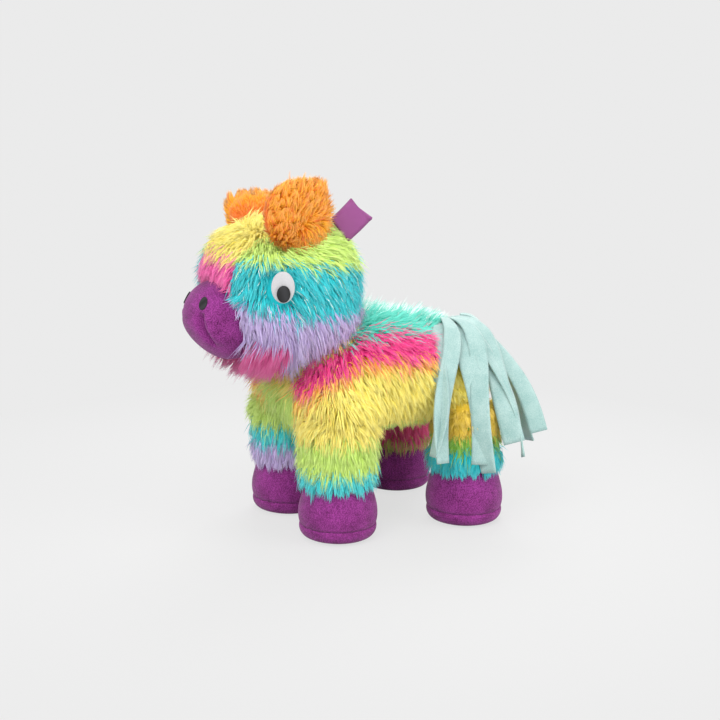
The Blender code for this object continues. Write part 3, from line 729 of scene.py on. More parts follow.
@dataclass(frozen=True)
class ThreadFinish:
    """Satin stitch or ribbon: fine parallel threads across a direction.

    Attributes:
        name: Material name.
        deep: Colour between the threads, a painted shade.
        light: Colour on top of the threads, a painted highlight.
        pitch: Threads per metre.
        turn: Direction of the threads as turns about X, Y and Z, in radians.
        roughness: Shader roughness.
        relief: Height of the threads.
    """

    name: str
    deep: tuple[float, float, float]
    light: tuple[float, float, float]
    pitch: float = 2200.0
    turn: tuple[float, float, float] = (0.0, 0.0, 0.0)
    roughness: float = 0.55
    relief: float = 0.0003

    def build(self) -> bpy.types.Material:
        """Return the material."""
        material, sheet, shader = new_material(self.name)
        where = sheet.add("ShaderNodeTexCoord")
        turned = sheet.add("ShaderNodeMapping")
        turned.inputs["Rotation"].default_value = self.turn
        sheet.join(where.outputs["Object"], turned.inputs["Vector"])
        wave = sheet.add("ShaderNodeTexWave", bands_direction='X')
        wave.inputs["Scale"].default_value = self.pitch / 20.0
        wave.inputs["Distortion"].default_value = 1.2
        wave.inputs["Detail"].default_value = 2.0
        sheet.join(turned.outputs[0], wave.inputs["Vector"])
        # The bands paint shade between the threads and highlights on their tops.
        sheet.join(sheet.mix('MIX', wave.outputs["Fac"], self.deep, self.light), shader.inputs["Base Color"])
        bump = sheet.add("ShaderNodeBump")
        bump.inputs["Strength"].default_value = 0.5
        bump.inputs["Distance"].default_value = self.relief
        sheet.join(wave.outputs["Fac"], bump.inputs["Height"])
        sheet.join(bump.outputs[0], shader.inputs["Normal"])
        shader.inputs["Roughness"].default_value = self.roughness
        return material


@dataclass
class Wardrobe:
    """All finishes, built once."""

    pile: bpy.types.Material = field(default_factory=PileFinish().build)
    # In each cloth finish the deep colour is painted shade between tufts or threads, and the light colour is
    # a painted highlight on them.
    velboa: bpy.types.Material = field(default_factory=NapFinish(
        "purple_velboa", linear(84, 16, 74), linear(146, 54, 136), contrast=1.4, sheen=0.12).build)
    lining: bpy.types.Material = field(default_factory=NapFinish(
        "orange_lining", linear(224, 100, 18), linear(246, 148, 48)).build)
    felt: bpy.types.Material = field(default_factory=NapFinish(
        "mint_felt", linear(120, 158, 154), linear(172, 196, 192),
        grain=2200.0, relief=0.0002, sheen=0.3).build)
    eye: bpy.types.Material = field(default_factory=NapFinish(
        "white_felt", linear(170, 169, 171), linear(186, 185, 187), grain=2600.0, relief=0.0001).build)
    thread: bpy.types.Material = field(default_factory=ThreadFinish(
        "black_satin_stitch", linear(14, 14, 16), linear(36, 36, 39),
        turn=(0.0, 0.0, 0.6), roughness=0.85).build)
    ribbon: bpy.types.Material = field(default_factory=ThreadFinish(
        "purple_ribbon", linear(128, 54, 118), linear(158, 80, 144),
        pitch=24000.0, turn=(0.0, 1.2, 0.0)).build)


def downwards(roots: Array) -> Array:
    """Comb straight down at every root."""
    return np.broadcast_to(np.array((0.0, 0.0, -1.0)), roots.shape)


@dataclass
class Torso:
    """The barrel of the body, with its left, right and belly panels.

    Attributes:
        half: Half sizes of the skin under the pile.
        boxiness: Exponent of its rounded box.
        behind_neck: How far its middle lies behind the neck joint.
        below_neck: How far its middle lies below the neck joint.
        belly: Half width of the belly panel.
        over_legs: Height above a hip at which the torso is let out.
        skirt: Half width that it is let out to there.
        strands: Strands scattered for each side panel.
        belly_strands: Strands scattered for the belly panel.
        cut: Cut of its pile.
    """

    half: tuple[float, float, float] = (0.0500, 0.0660, 0.0320)
    boxiness: float = 2.6
    behind_neck: float = 0.048
    below_neck: float = 0.0245
    belly: float = 0.018
    over_legs: float = 0.024
    skirt: float = 0.0560
    strands: int = 46000
    belly_strands: int = 40000
    cut: PileCut = PileCut(length=0.0140, lean=1.12)

    @property
    def centre(self) -> Array:
        """Middle of the torso."""
        return joint_place("neck_turn") + np.array((0.0, self.behind_neck, -self.below_neck))

    def skin(self) -> Skin:
        """Return the torso's rounded box, raised over the shoulders and let out over the tops of the legs."""
        form = rounded_skin(self.centre, np.array(self.half), self.boxiness)
        along = form.points[..., 1] - self.centre[1]
        above = np.maximum(form.points[..., 2] - self.centre[2], 0.0) / self.half[2]
        form.points[..., 2] += 0.006 * np.exp(-((along + 0.020) / 0.030) ** 2) * above ** 2
        for leg in Leg:
            hip = joint_place(f"leg_{leg.value}_swing")
            sign = np.sign(hip[0] - self.centre[0])
            aside = sign * (form.points[..., 0] - self.centre[0])
            off = form.points - hip - np.array((0.0, 0.0, self.over_legs))
            near = np.exp(-(off[..., 1] / 0.022) ** 2 - (off[..., 2] / 0.015) ** 2)
            near = near * np.clip(aside / 0.030, 0.0, 1.0)
            form.points[..., 0] += sign * near * np.maximum(self.skirt - aside, 0.0)
        form.renew_normals()
        return form

    def inside(self, points: Array, grow: float = 0.0) -> Array:
        """Tell which points lie inside the torso's skin, made larger by grow."""
        share = np.abs(points - self.centre) / (np.array(self.half) + grow)
        return np.sum(share ** self.boxiness, axis=-1) < 1.0

    def dye(self, roots: Array) -> Array:
        """Give each root its stripe: mint along the spine, pink, orange, lemon, then lime below."""
        x, y, z = (roots - np.array((self.centre[0], 0.0, 0.0))).T
        border = np.interp(y, (-0.060, -0.040, -0.020, 0.025, 0.080),
                           (-0.0060, 0.0090, 0.0190, 0.0165, 0.0180))
        border = border + 0.043 * ((y < self.centre[1] - 0.056) & (np.abs(x) < 0.020))
        tall = z - self.centre[2] - border
        sides = banded(tall, [-0.040, -0.0035, 0.0015], [Dye.LIME, Dye.LEMON, Dye.AMBER, Dye.HOT_PINK], 11)
        spine = np.abs(x) + 0.004 * np.random.default_rng(12).standard_normal(len(x))
        ridge = np.where(spine < 0.006, Dye.SNOW.value, Dye.MINT.value)
        wide = np.interp(y, (-0.045, -0.025, 0.03, 0.07), (0.012, 0.030, 0.032, 0.014))
        top = (spine < wide) & (z > self.centre[2] + 0.0115)
        return np.where(top, ridge, sides)

    def comb(self, roots: Array) -> Array:
        """Comb downwards and a little to the rear, and straight back along the spine."""
        spine = np.exp(-((roots[:, 0] - self.centre[0]) / 0.020) ** 2) * (roots[:, 2] > self.centre[2])
        return np.array((0.0, 0.25, -1.0)) + spine[:, None] * np.array((0.0, 1.0, 0.8))

    def upright(self, roots: Array) -> Array:
        """Stand the spine's pile up."""
        return 0.65 * np.exp(-((roots[:, 0] - self.centre[0]) / 0.022) ** 2) * (roots[:, 2] > self.centre[2])

    def lengths(self, roots: Array) -> Array:
        """Shorten the pile low on the flanks and under the tail; lengthen it on chest, legs and withers."""
        ahead = self.centre[1] - roots[:, 1]
        low = np.interp(roots[:, 2] - self.centre[2], (-0.030, -0.012), (0.55, 1.0))
        share = low + 0.5 * np.clip((ahead - 0.040) / 0.020, 0.0, 1.0)
        for leg in Leg:
            off = roots - joint_place(f"leg_{leg.value}_swing") - np.array((0.0, 0.0, self.over_legs))
            near = np.exp(-(off[:, 1] / 0.024) ** 2 - (off[:, 2] / 0.014) ** 2 - (off[:, 0] / 0.030) ** 2)
            share = np.maximum(share, 1.2 * near)
        aside = np.clip((np.abs(roots[:, 0] - self.centre[0]) - 0.010) / 0.010, 0.0, 1.0)
        rump = aside * np.clip((-ahead - 0.005) / 0.020, 0.0, 1.0) * (roots[:, 2] > self.centre[2] - 0.012)
        withers = np.exp(-((roots[:, 0] - self.centre[0]) / 0.014) ** 2 - ((ahead - 0.030) / 0.020) ** 2)
        return share * (1.0 - 0.5 * rump) * (1.0 + 0.5 * withers)

    def build(self, wardrobe: Wardrobe, bare: Field) -> None:
        """Build the stuffed skin and the pile of its three panels.

        Args:
            wardrobe: The finishes.
            bare: Tells which roots other pieces cover.
        """
        skin = self.skin()
        body = finish_piece(skin.dyed_object("torso_skin", self.dye), "torso", wardrobe.pile,
                            "rainbow_plush", "torso_stuffing")
        middle = self.centre[0]

        def on_belly(roots: Array) -> Array:
            """Tell which roots lie on the belly panel."""
            return (np.abs(roots[:, 0] - middle) < self.belly) & (roots[:, 2] < self.centre[2])

        def on_left(roots: Array) -> Array:
            """Tell which open roots lie on the left panel."""
            return (roots[:, 0] >= middle) & ~on_belly(roots) & ~bare(roots)

        def on_right(roots: Array) -> Array:
            """Tell which open roots lie on the right panel."""
            return (roots[:, 0] < middle) & ~on_belly(roots) & ~bare(roots)

        def open_belly(roots: Array) -> Array:
            """Tell which open roots lie on the belly panel."""
            return on_belly(roots) & ~bare(roots)

        panels = {"torso_left_panel": (on_left, self.strands), "torso_right_panel": (on_right, self.strands),
                  "belly_panel": (open_belly, self.belly_strands)}
        for number, (node, (keep, count)) in enumerate(panels.items()):
            pile = Pile(skin, self.cut, count, 100 + number, self.dye, self.comb, keep,
                        self.lengths, self.upright)
            finish_piece(pile.object(f"{node}_pile"), "torso", wardrobe.pile, "rainbow_plush", node)


@dataclass
class Head:
    """The head with its side and centre panels, muzzle, eyes and nostrils.

    Attributes:
        half: Half sizes of the skin under the pile.
        boxiness: Exponent of its rounded box.
        ahead: How far its middle lies ahead of the neck joint.
        above: How far its middle lies above the neck joint.
        seam: Half width of the centre panel.
        muzzle_half: Half sizes of the muzzle.
        muzzle_power: Exponent of the muzzle's rounded box.
        muzzle_ahead: How far the muzzle's middle lies ahead of the head's.
        muzzle_below: How far it lies below.
        muzzle_swell: The most that the stuffing pushes the muzzle out.
        dart_depth: Depth of the dart in each cheek of the muzzle.
        eye_half: Half width and half height of an eye white.
        eye_thick: Its height at the middle.
        pupil_half: Half width and half height of a pupil.
        pupil_thick: Its height at the middle.
        nostril_half: Half width and half height of a nostril.
        nostril_thick: Its height at the middle.
        strands: Strands scattered for each panel.
        cut: Cut of its pile.
    """

    half: tuple[float, float, float] = (0.0420, 0.0455, 0.0425)
    boxiness: float = 2.5
    ahead: float = 0.024
    above: float = 0.039
    seam: float = 0.022
    muzzle_half: tuple[float, float, float] = (0.0262, 0.0267, 0.0264)
    muzzle_power: float = 2.2
    muzzle_ahead: float = 0.039
    muzzle_below: float = 0.0170
    muzzle_swell: float = 0.0012
    dart_depth: float = 0.0068
    eye_half: tuple[float, float] = (0.0074, 0.0098)
    eye_thick: float = 0.0018
    pupil_half: tuple[float, float] = (0.0043, 0.0053)
    pupil_thick: float = 0.0012
    nostril_half: tuple[float, float] = (0.0029, 0.0044)
    nostril_thick: float = 0.0008
    strands: int = 50000
    cut: PileCut = PileCut(length=0.0130, lean=1.15)

    @property
    def centre(self) -> Array:
        """Middle of the head."""
        return joint_place("neck_turn") + np.array((0.0, -self.ahead, self.above))

    @property
    def muzzle_centre(self) -> Array:
        """Middle of the muzzle."""
        return self.centre + np.array((0.0, -self.muzzle_ahead, -self.muzzle_below))

    def inside(self, points: Array, grow: float = 0.0) -> Array:
        """Tell which points lie inside the head's skin, made larger by grow."""
        share = np.abs(points - self.centre) / (np.array(self.half) + grow)
        return np.sum(share ** self.boxiness, axis=-1) < 1.0

    def in_muzzle(self, points: Array, grow: float = 0.0) -> Array:
        """Tell which points lie inside the muzzle, made larger by grow."""
        share = np.abs(points - self.muzzle_centre) / (np.array(self.muzzle_half) + grow)
        return np.sum(share ** self.muzzle_power, axis=-1) < 1.0

    def dye(self, roots: Array) -> Array:
        """Give each root its stripe: lime, teal and lilac down the cheeks, lemon and rose down the brow."""
        x, y, z = (roots - self.centre).T
        lower = np.interp(y, (-0.040, -0.025, -0.010, 0.035), (-0.0010, -0.0050, -0.0080, -0.0085))
        upper = banded(z + 0.10 * y, [0.021], [Dye.TEAL, Dye.LIME], 25)
        under = banded(z - lower, [0.0], [Dye.LILAC, Dye.TEAL], 21) == Dye.LILAC.value
        cheek = np.where(under, Dye.LILAC.value, upper)
        brow = banded(z - 0.35 * np.maximum(y + 0.012, 0.0), [0.026], [Dye.ROSE, Dye.LEMON], 22)
        behind = banded(z, [0.003, 0.026], [Dye.LILAC, Dye.TEAL, Dye.LIME], 23)
        middle = np.where(y > 0.018, behind, brow)
        chin = (z < -0.025) & (y < -0.010) & (np.abs(x) < 0.036)
        colour = np.where(np.abs(x) < self.seam, middle, cheek)
        # A few teal strands turn white as painted glints of shiny strands.
        glint_strands = (np.random.default_rng(24).random(len(x)) < 0.03) & (colour == Dye.TEAL.value)
        colour = np.where(glint_strands, float(Dye.SNOW.value), colour)
        return np.where(chin, float(Dye.ROSE.value), colour)

    def comb(self, roots: Array) -> Array:
        """Comb down the cheeks, back over the crown, down the brow and in over the muzzle's rim."""
        away = (roots - self.centre) / np.array(self.half)
        crown = np.clip(away[:, 2:] * 1.6 - 0.5, 0.0, 1.0) * np.clip(away[:, 1:2] * 3.0 + 1.6, 0.0, 1.0)
        brow = np.clip(-away[:, 1:2] * 2.0 - 0.6, 0.0, 1.0) * np.clip(away[:, 2:] * 3.0 + 0.6, 0.2, 1.0)
        way = np.array((0.0, 0.30, -1.0)) + crown * np.array((0.0, 0.9, 0.3))
        way = way + brow * np.array((0.0, -0.7, 0.0))
        inward = unit(self.muzzle_centre - roots)
        near = self.in_muzzle(roots, 0.008) & (roots[:, 2] > self.muzzle_centre[2] + 0.014)
        way = np.where(near[:, None], inward + np.array((0.0, -0.9, -0.2)), way)
        chin = (away[:, 2] < -0.55) & (away[:, 1] < -0.2)
        return np.where(chin[:, None], np.array((0.0, -0.7, -1.0)), way)

    def build_pile(self, wardrobe: Wardrobe, bare: Field) -> None:
        """Build the stuffed skin and the pile of its three panels.

        Args:
            wardrobe: The finishes.
            bare: Tells which roots other pieces cover.
        """
        skin = rounded_skin(self.centre, np.array(self.half), self.boxiness)
        body = finish_piece(skin.dyed_object("head_skin", self.dye), "head", wardrobe.pile,
                            "rainbow_plush", "head_stuffing")
        middle = self.centre[0]

        def on_left(roots: Array) -> Array:
            """Tell which open roots lie left of the centre panel."""
            return (roots[:, 0] >= middle + self.seam) & ~bare(roots)

        def on_right(roots: Array) -> Array:
            """Tell which open roots lie right of the centre panel."""
            return (roots[:, 0] < middle - self.seam) & ~bare(roots)

        def on_centre(roots: Array) -> Array:
            """Tell which open roots lie on the centre panel."""
            return (np.abs(roots[:, 0] - middle) < self.seam) & ~bare(roots)

        panels = {"head_left_panel": on_left, "head_right_panel": on_right, "head_centre_panel": on_centre}
        for number, (node, keep) in enumerate(panels.items()):
            pile = Pile(skin, self.cut, self.strands, 200 + number, self.dye, self.comb, keep,
                        self.lengths, self.upright)
            finish_piece(pile.object(f"{node}_pile"), "head", wardrobe.pile, "rainbow_plush", node)

    def lengths(self, roots: Array) -> Array:
        """Lengthen the pile low on the cheeks, and shorten it round the eyes."""
        below = (self.centre[2] - roots[:, 2]) / self.half[2]
        chin = np.clip((self.centre[1] - roots[:, 1]) / self.half[1] * 2.0, 0.0, 1.0) * (below > 0.55)
        share = 1.0 + 0.4 * np.clip(below * 1.5, 0.0, 1.0) + 0.4 * chin
        share = np.where(self.in_muzzle(roots, 0.007) & (below < 0.55), 0.7 * share, share)
        for side in Side:
            spot = self.eye_spot(side)[0]
            off = (roots - spot) / np.array((0.030, 0.0125, 0.0150))
            off[:, 2] -= 0.25
            share = np.minimum(share, np.clip(np.sum(off ** 2, axis=-1), 0.45, 1.5))
        return share

    def upright(self, roots: Array) -> Array:
        """Let the chin's pile hang straight down."""
        away = (roots - self.centre) / np.array(self.half)
        return 0.65 * ((away[:, 2] < -0.55) & (away[:, 1] < -0.1))

    def eye_spot(self, side: Side) -> tuple[Array, Array]:
        """Return the middle of an eye white's node and the outward direction there."""
        low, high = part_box(f"eye_white_{side.word}")
        spot = (np.array(low) + np.array(high)) / 2.0
        offset = (spot - self.centre) / (np.array(self.half) + 0.006)
        slope = np.sign(offset) * np.abs(offset) ** (self.boxiness - 1.0) / np.array(self.half)
        return spot, unit(slope)

    def build_face(self, wardrobe: Wardrobe) -> None:
        """Build the muzzle, the eyes with their pupils, and the nostrils."""
        muzzle = rounded_skin(self.muzzle_centre, np.array(self.muzzle_half), self.muzzle_power, 84, 240)
        muzzle.stuff(muzzle.points[..., 1] > self.muzzle_centre[1] + 0.010, self.muzzle_swell)
        self.sew_darts(muzzle)
        cover = finish_piece(muzzle.object("muzzle"), "head", wardrobe.velboa, "purple_velboa",
                             "muzzle_cover", "muzzle_stuffing")
        for side in Side:
            spot, out = self.eye_spot(side)
            white = pad(f"eye_white_{side.word}_felt", spot + out * 0.0006, out,
                        self.eye_half, self.eye_thick)
            finish_piece(white, "head", wardrobe.eye, "eye_felt", f"eye_white_{side.word}")
            low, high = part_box(f"pupil_{side.word}")
            place = (np.array(low) + np.array(high)) / 2.0 + np.array((0.0, -0.0012, -0.0008)) + out * 0.0006
            pupil = pad(f"pupil_{side.word}_stitch", place, out, self.pupil_half, self.pupil_thick)
            finish_piece(pupil, "head", wardrobe.thread, "black_thread", f"pupil_{side.word}")
            low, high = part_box(f"nostril_{side.word}")
            place = (np.array(low) + np.array(high)) / 2.0
            aims = unit(muzzle.points - self.muzzle_centre) @ unit(place - self.muzzle_centre)
            nearest = np.unravel_index(np.argmax(aims), aims.shape)
            spot, slope = muzzle.points[nearest], muzzle.normals[nearest]
            nostril = pad(f"nostril_{side.word}_stitch", spot - slope * 0.0001, slope,
                          self.nostril_half, self.nostril_thick)
            finish_piece(nostril, "head", wardrobe.thread, "black_thread", f"nostril_{side.word}")

    def sew_darts(self, muzzle: Skin) -> None:
        """Draw the chin back and press a curved dart into each cheek, from below the nostril down.

        Args:
            muzzle: The muzzle's form, changed in place.
        """
        off = (muzzle.points - self.muzzle_centre) / np.array(self.muzzle_half)
        ahead = np.clip(-off[..., 1], 0.0, 1.0)
        muzzle.points[..., 1] += 0.011 * np.clip(-off[..., 2], 0.0, 1.0) ** 1.5 * ahead
        turn = np.degrees(np.arctan2(np.abs(off[..., 0]), -off[..., 1]))
        along = np.clip((0.32 - off[..., 2]) / 0.85, 0.0, 1.0)
        beside = turn - (33.0 + 12.0 * along ** 1.6)
        ends = np.clip(along * 5.0, 0.0, 1.0) * np.clip((1.0 - along) * 4.0, 0.0, 1.0)
        groove = self.dart_depth * np.exp(-(beside / np.where(beside < 0.0, 7.0, 3.0)) ** 2)
        cheek = 0.0018 * np.exp(-((beside - 11.0) / 9.0) ** 2)
        muzzle.points += muzzle.normals * ((cheek - groove) * ends)[..., None]
        muzzle.renew_normals()


def pad(name: str, spot: Array, out: Array, half: tuple[float, float], thick: float) -> bpy.types.Object:
    """A flat oval pad, crowned on top: height falls from its middle as 1 - r^4, and its rim is rounded.

    Args:
        name: Name of the piece.
        spot: Middle of the pad's foot.
        out: Outward direction.
        half: Half width and half height.
        thick: Height at the middle.

    Returns:
        The mesh object.
    """
    up = unit(np.array((0.0, 0.0, 1.0)) - out * out[2])
    across = np.cross(up, out)
    share = np.array((0.15, 0.35, 0.55, 0.72, 0.86, 0.95, 1.0, 1.0, 0.9))
    level = np.append((1.0 - 0.55 * share[:-2] ** 4) * thick, (0.25 * thick, -0.8 * thick))
    around = np.arange(48) * 2.0 * math.pi / 48
    points = (spot + share[:, None, None] * (np.cos(around)[None, :, None] * across * half[0]
              + np.sin(around)[None, :, None] * up * half[1]) + level[:, None, None] * out)
    return Skin(points, points * 0.0, (spot + out * thick, spot - out * 0.8 * thick)).object(name)


@dataclass
class Ear:
    """One ear: a shaggy back and a brushed lining, sewn round the edge.

    Attributes:
        side: Which ear.
        half_width: Half its width.
        height: Height above its hinge.
        thick: Half its thickness.
        facing: Turn of the lining from the front towards the middle, in radians.
        lean: Outward lean, in radians.
        foot: How far it reaches below its hinge.
        strands: Strands scattered for the shaggy back.
        fuzz_strands: Strands scattered for the lining's nap.
        cut: Cut of the shaggy back.
        fuzz: Cut of the lining's short nap.
    """

    side: Side
    half_width: float = 0.0195
    height: float = 0.0270
    thick: float = 0.0060
    facing: float = math.radians(74.0)
    lean: float = math.radians(8.0)
    foot: float = 0.0100
    strands: int = 12000
    fuzz_strands: int = 9000
    cut: PileCut = PileCut(length=0.0090, lean=0.85, clump=0.6, tuft=0.0042, shag=0.0013, radius=0.00034,
                           skin_shade=0.35)
    fuzz: PileCut = PileCut(length=0.0042, lean=1.1, clump=0.3, shag=0.0008, radius=0.00022, skin_shade=0.5)

    def axes(self) -> tuple[Array, Array, Array]:
        """Return the ear's directions: across, up, and towards its lining."""
        sign = self.side.value
        lining = np.array((-sign * math.sin(self.facing), -math.cos(self.facing), 0.0))
        up = np.array((sign * math.sin(self.lean), 0.0, math.cos(self.lean)))
        across = unit(np.cross(up, lining))
        return across, up, np.cross(across, up)

    def build(self, wardrobe: Wardrobe) -> None:
        """Build the padded back with its pile, and the lining."""
        word = self.side.word
        hinge = joint_place(f"ear_{word}_flop")
        across, up, inward = self.axes()
        half = np.array((self.half_width, self.thick, (self.height + self.foot) / 2.0))
        turn = np.stack([across, -inward, up])
        middle = hinge + up * (self.height - self.foot) / 2.0

        def placed(form: Skin, place: Array) -> Skin:
            """Turn a form from the ear's own directions and set its middle at a place."""
            ends = tuple(pole @ turn + place for pole in form.poles)
            return Skin(form.points @ turn + place, form.normals @ turn, ends)

        def back(roots: Array) -> Array:
            """Tell which roots lie behind the lining."""
            return (roots - middle) @ inward < self.thick * 0.15

        def front(roots: Array) -> Array:
            """Tell which roots lie on the lining's open face."""
            return (roots - middle) @ inward > self.thick * 0.5

        def rear_foot(roots: Array) -> Array:
            """Give each root its nearness to the low rear corner, from 0 to 1."""
            low = np.clip(-((roots - middle) @ up) / half[2] * 1.5, 0.0, 1.0)
            behind = -self.side.value * ((roots - middle) @ across) / half[0]
            return low * np.clip(behind + 0.6, 0.0, 1.0)

        def fan(roots: Array) -> Array:
            """Comb outwards from the ear's middle, upwards and back, and down over the head at its rear."""
            way = (roots - middle) * 0.4 + up * 0.02 - inward * 0.012
            return way - up * 0.05 * rear_foot(roots)[:, None]

        def lengths(roots: Array) -> Array:
            """Lengthen the pile at the rear foot."""
            return 1.0 + 0.5 * rear_foot(roots)

        def orange(roots: Array) -> Array:
            """Dye the back orange, with one strand in eight a deeper one."""
            deeper = np.random.default_rng(33).random(len(roots)) < 0.12
            return np.where(deeper, float(Dye.MANDARIN.value), float(Dye.TANGERINE.value))

        def deep_orange(roots: Array) -> Array:
            """Dye the lining a deeper orange that lightens towards its top."""
            tall = (roots - middle) @ up
            return banded(tall, [self.height * 0.35], [Dye.MANDARIN, Dye.TANGERINE], 32, 0.004)

        skin = placed(rounded_skin(np.zeros(3), half, 3.0, 36, 64), middle)
        body = finish_piece(skin.dyed_object(f"ear_back_{word}_skin", orange), f"ear_{word}",
                            wardrobe.pile, "orange_plush")
        pile = Pile(skin, self.cut, self.strands, 300 + int(self.side.value), orange, fan, back, lengths)
        finish_piece(pile.object(f"ear_back_{word}_pile"), f"ear_{word}", wardrobe.pile,
                     "orange_plush", f"ear_back_{word}")
        form = rounded_skin(np.zeros(3), half * np.array((1.02, 0.62, 1.01)), 2.4, 30, 56)
        dish = (1.0 - (form.points[..., 0] / half[0]) ** 2) * (1.0 - (form.points[..., 2] / half[2]) ** 2)
        form.points[..., 1] += 0.0022 * np.maximum(dish, 0.0)
        lining = placed(form, middle + inward * (self.thick * 0.85))
        cover = finish_piece(lining.object(f"ear_lining_{word}_cloth"), f"ear_{word}", wardrobe.lining,
                             "orange_lining", f"ear_lining_{word}")
        fuzz = Pile(lining, self.fuzz, self.fuzz_strands, 310 + int(self.side.value), deep_orange, fan, front)
        finish_piece(fuzz.object(f"ear_lining_{word}_fuzz"), f"ear_{word}", wardrobe.pile, "orange_lining")


EAR_SIZES: dict[Side, tuple[float, float]] = {Side.LEFT: (0.0208, 0.0262), Side.RIGHT: (0.0138, 0.0128)}


class Leg(Enum):
    """The four legs, by the words in their node names."""

    FRONT_LEFT = "front_left"
    FRONT_RIGHT = "front_right"
    HIND_LEFT = "hind_left"
    HIND_RIGHT = "hind_right"


LEG_STRIPES: dict[Leg, tuple[list[float], list[Dye]]] = {
    Leg.FRONT_LEFT: ([0.0515, 0.0720], [Dye.AQUA, Dye.LIME, Dye.LEMON]),
    Leg.FRONT_RIGHT: ([0.0550, 0.0680, 0.0890], [Dye.LILAC, Dye.AQUA, Dye.LIME, Dye.LEMON]),
    Leg.HIND_LEFT: ([0.0540, 0.0640], [Dye.TEAL, Dye.LEAF, Dye.GOLD]),
    Leg.HIND_RIGHT: ([0.0430, 0.0900], [Dye.OLIVE, Dye.CRIMSON, Dye.GOLD]),
}


HEM_SHARE: dict[Leg, float] = {
    Leg.FRONT_LEFT: 0.75,
    Leg.FRONT_RIGHT: 0.75,
    Leg.HIND_LEFT: 0.55,
    Leg.HIND_RIGHT: 1.15,
}


@dataclass
class LegBuild:
    """One leg: a furred sleeve with a velboa hoof and its sole.

    Attributes:
        leg: Which leg.
        radius: Radius of the skin under the pile.
        ankle: Height of the sleeve's lower edge.
        hoof_top: Radius of the hoof where it enters the sleeve.
        hoof_wide: Widest radius of the hoof.
        seam: Height of the sole's seam.
        swell: The most that the stuffing pushes the hoof out.
        rise: How far above the hip its straight part ends.
        crown: Height of its rounded top, which the torso covers.
        strands: Strands scattered for the sleeve.
        cut: Cut of its pile.
    """

    leg: Leg
    radius: float = 0.0205
    ankle: float = 0.0390
    hoof_top: float = 0.0190
    hoof_wide: float = 0.0258
    seam: float = 0.0100
    swell: float = 0.0012
    rise: float = 0.0100
    crown: float = 0.0125
    strands: int = 18000
    cut: PileCut = PileCut(length=0.0130, lean=1.15)

    def build(self, wardrobe: Wardrobe, bare: Field) -> None:
        """Build the stuffed sleeve with its pile, the hoof and the sole.

        Args:
            wardrobe: The finishes.
            bare: Tells which roots the torso covers.
        """
        word = self.leg.value
        body = f"leg_{word}"
        hip = joint_place(f"leg_{word}_swing")
        foot = np.array((hip[0], hip[1], 0.0))
        polar = np.linspace(0.12, math.pi / 2, 10)
        hem_radii = [self.radius * 0.9, self.radius * 0.6]
        radii = np.concatenate([self.radius * np.sin(polar), np.full(16, self.radius), hem_radii])
        shoulder = hip[2] + self.rise
        column = np.linspace(shoulder - 0.0015, self.ankle, 16)
        hem_heights = [self.ankle - 0.001, self.ankle - 0.0012]
        heights = np.concatenate([shoulder + self.crown * np.cos(polar), column, hem_heights])
        skin = turned_skin(foot, radii, heights)
        edges, dyes = LEG_STRIPES[self.leg]

        def dye(roots: Array) -> Array:
            """Give each root its stripe by height."""
            return banded(roots[:, 2], edges, dyes, 41)

        sleeve = finish_piece(skin.dyed_object(f"leg_{word}_skin", dye), body, wardrobe.pile,
                              "rainbow_plush", f"leg_stuffing_{word}")

        def keep(roots: Array) -> Array:
            """Tell which roots the torso leaves open, below the leg's rounded top."""
            return ~bare(roots) & (roots[:, 2] > self.ankle - 0.0005) & (roots[:, 2] < shoulder + 0.008)

        def lengths(roots: Array) -> Array:
            """Shorten the pile at the hem, and under the tail strips high on the hind legs."""
            hind = self.leg in (Leg.HIND_LEFT, Leg.HIND_RIGHT)
            hem = np.interp(roots[:, 2] - self.ankle, (0.0, 0.012), (HEM_SHARE[self.leg], 1.0))
            return np.where((roots[:, 2] > self.ankle + 0.014) & hind, 0.6, hem)

        seed = 400 + list(Leg).index(self.leg)
        pile = Pile(skin, self.cut, self.strands, seed, dye, downwards, keep, lengths)
        finish_piece(pile.object(f"leg_{word}_pile"), body, wardrobe.pile, "rainbow_plush",
                     f"leg_sleeve_{word}")
        share = np.linspace(0.0, 1.0, 26)
        radii = self.hoof_top + (self.hoof_wide - self.hoof_top) * np.sin(share * math.pi / 2) ** 1.3
        heights = self.ankle + 0.004 + (self.seam - self.ankle - 0.004) * share
        radii[-2:] -= (0.0002, 0.0008)
        hoof = turned_skin(foot, radii, heights, 96, 0.010)
        row = np.broadcast_to(np.arange(len(heights))[:, None], hoof.points.shape[:2])
        hoof.stuff((row < 2) | (row > len(heights) - 3), self.swell)
        cover = finish_piece(hoof.object(f"hoof_cover_{word}_cloth"), body, wardrobe.velboa,
                             "purple_velboa", f"hoof_cover_{word}")
        share = np.linspace(0.0, 1.0, 16)
        radii = self.hoof_wide * np.cos(share * math.pi / 2 * 0.72) ** 0.55
        heights = (self.seam - 0.0002) * (1.0 - share) ** 1.6
        radii[:2] -= (0.0008, 0.0002)
        sole = turned_skin(foot, radii, heights, 96, 0.010)
        row = np.broadcast_to(np.arange(len(heights))[:, None], sole.points.shape[:2])
        sole.stuff((row < 2) | (sole.points[..., 2] < 0.0012), self.swell)
        sole.points[..., 2] = np.maximum(sole.points[..., 2], 0.0)
        under = finish_piece(sole.object(f"hoof_sole_{word}_cloth"), body, wardrobe.velboa,
                             "purple_velboa", f"hoof_sole_{word}")


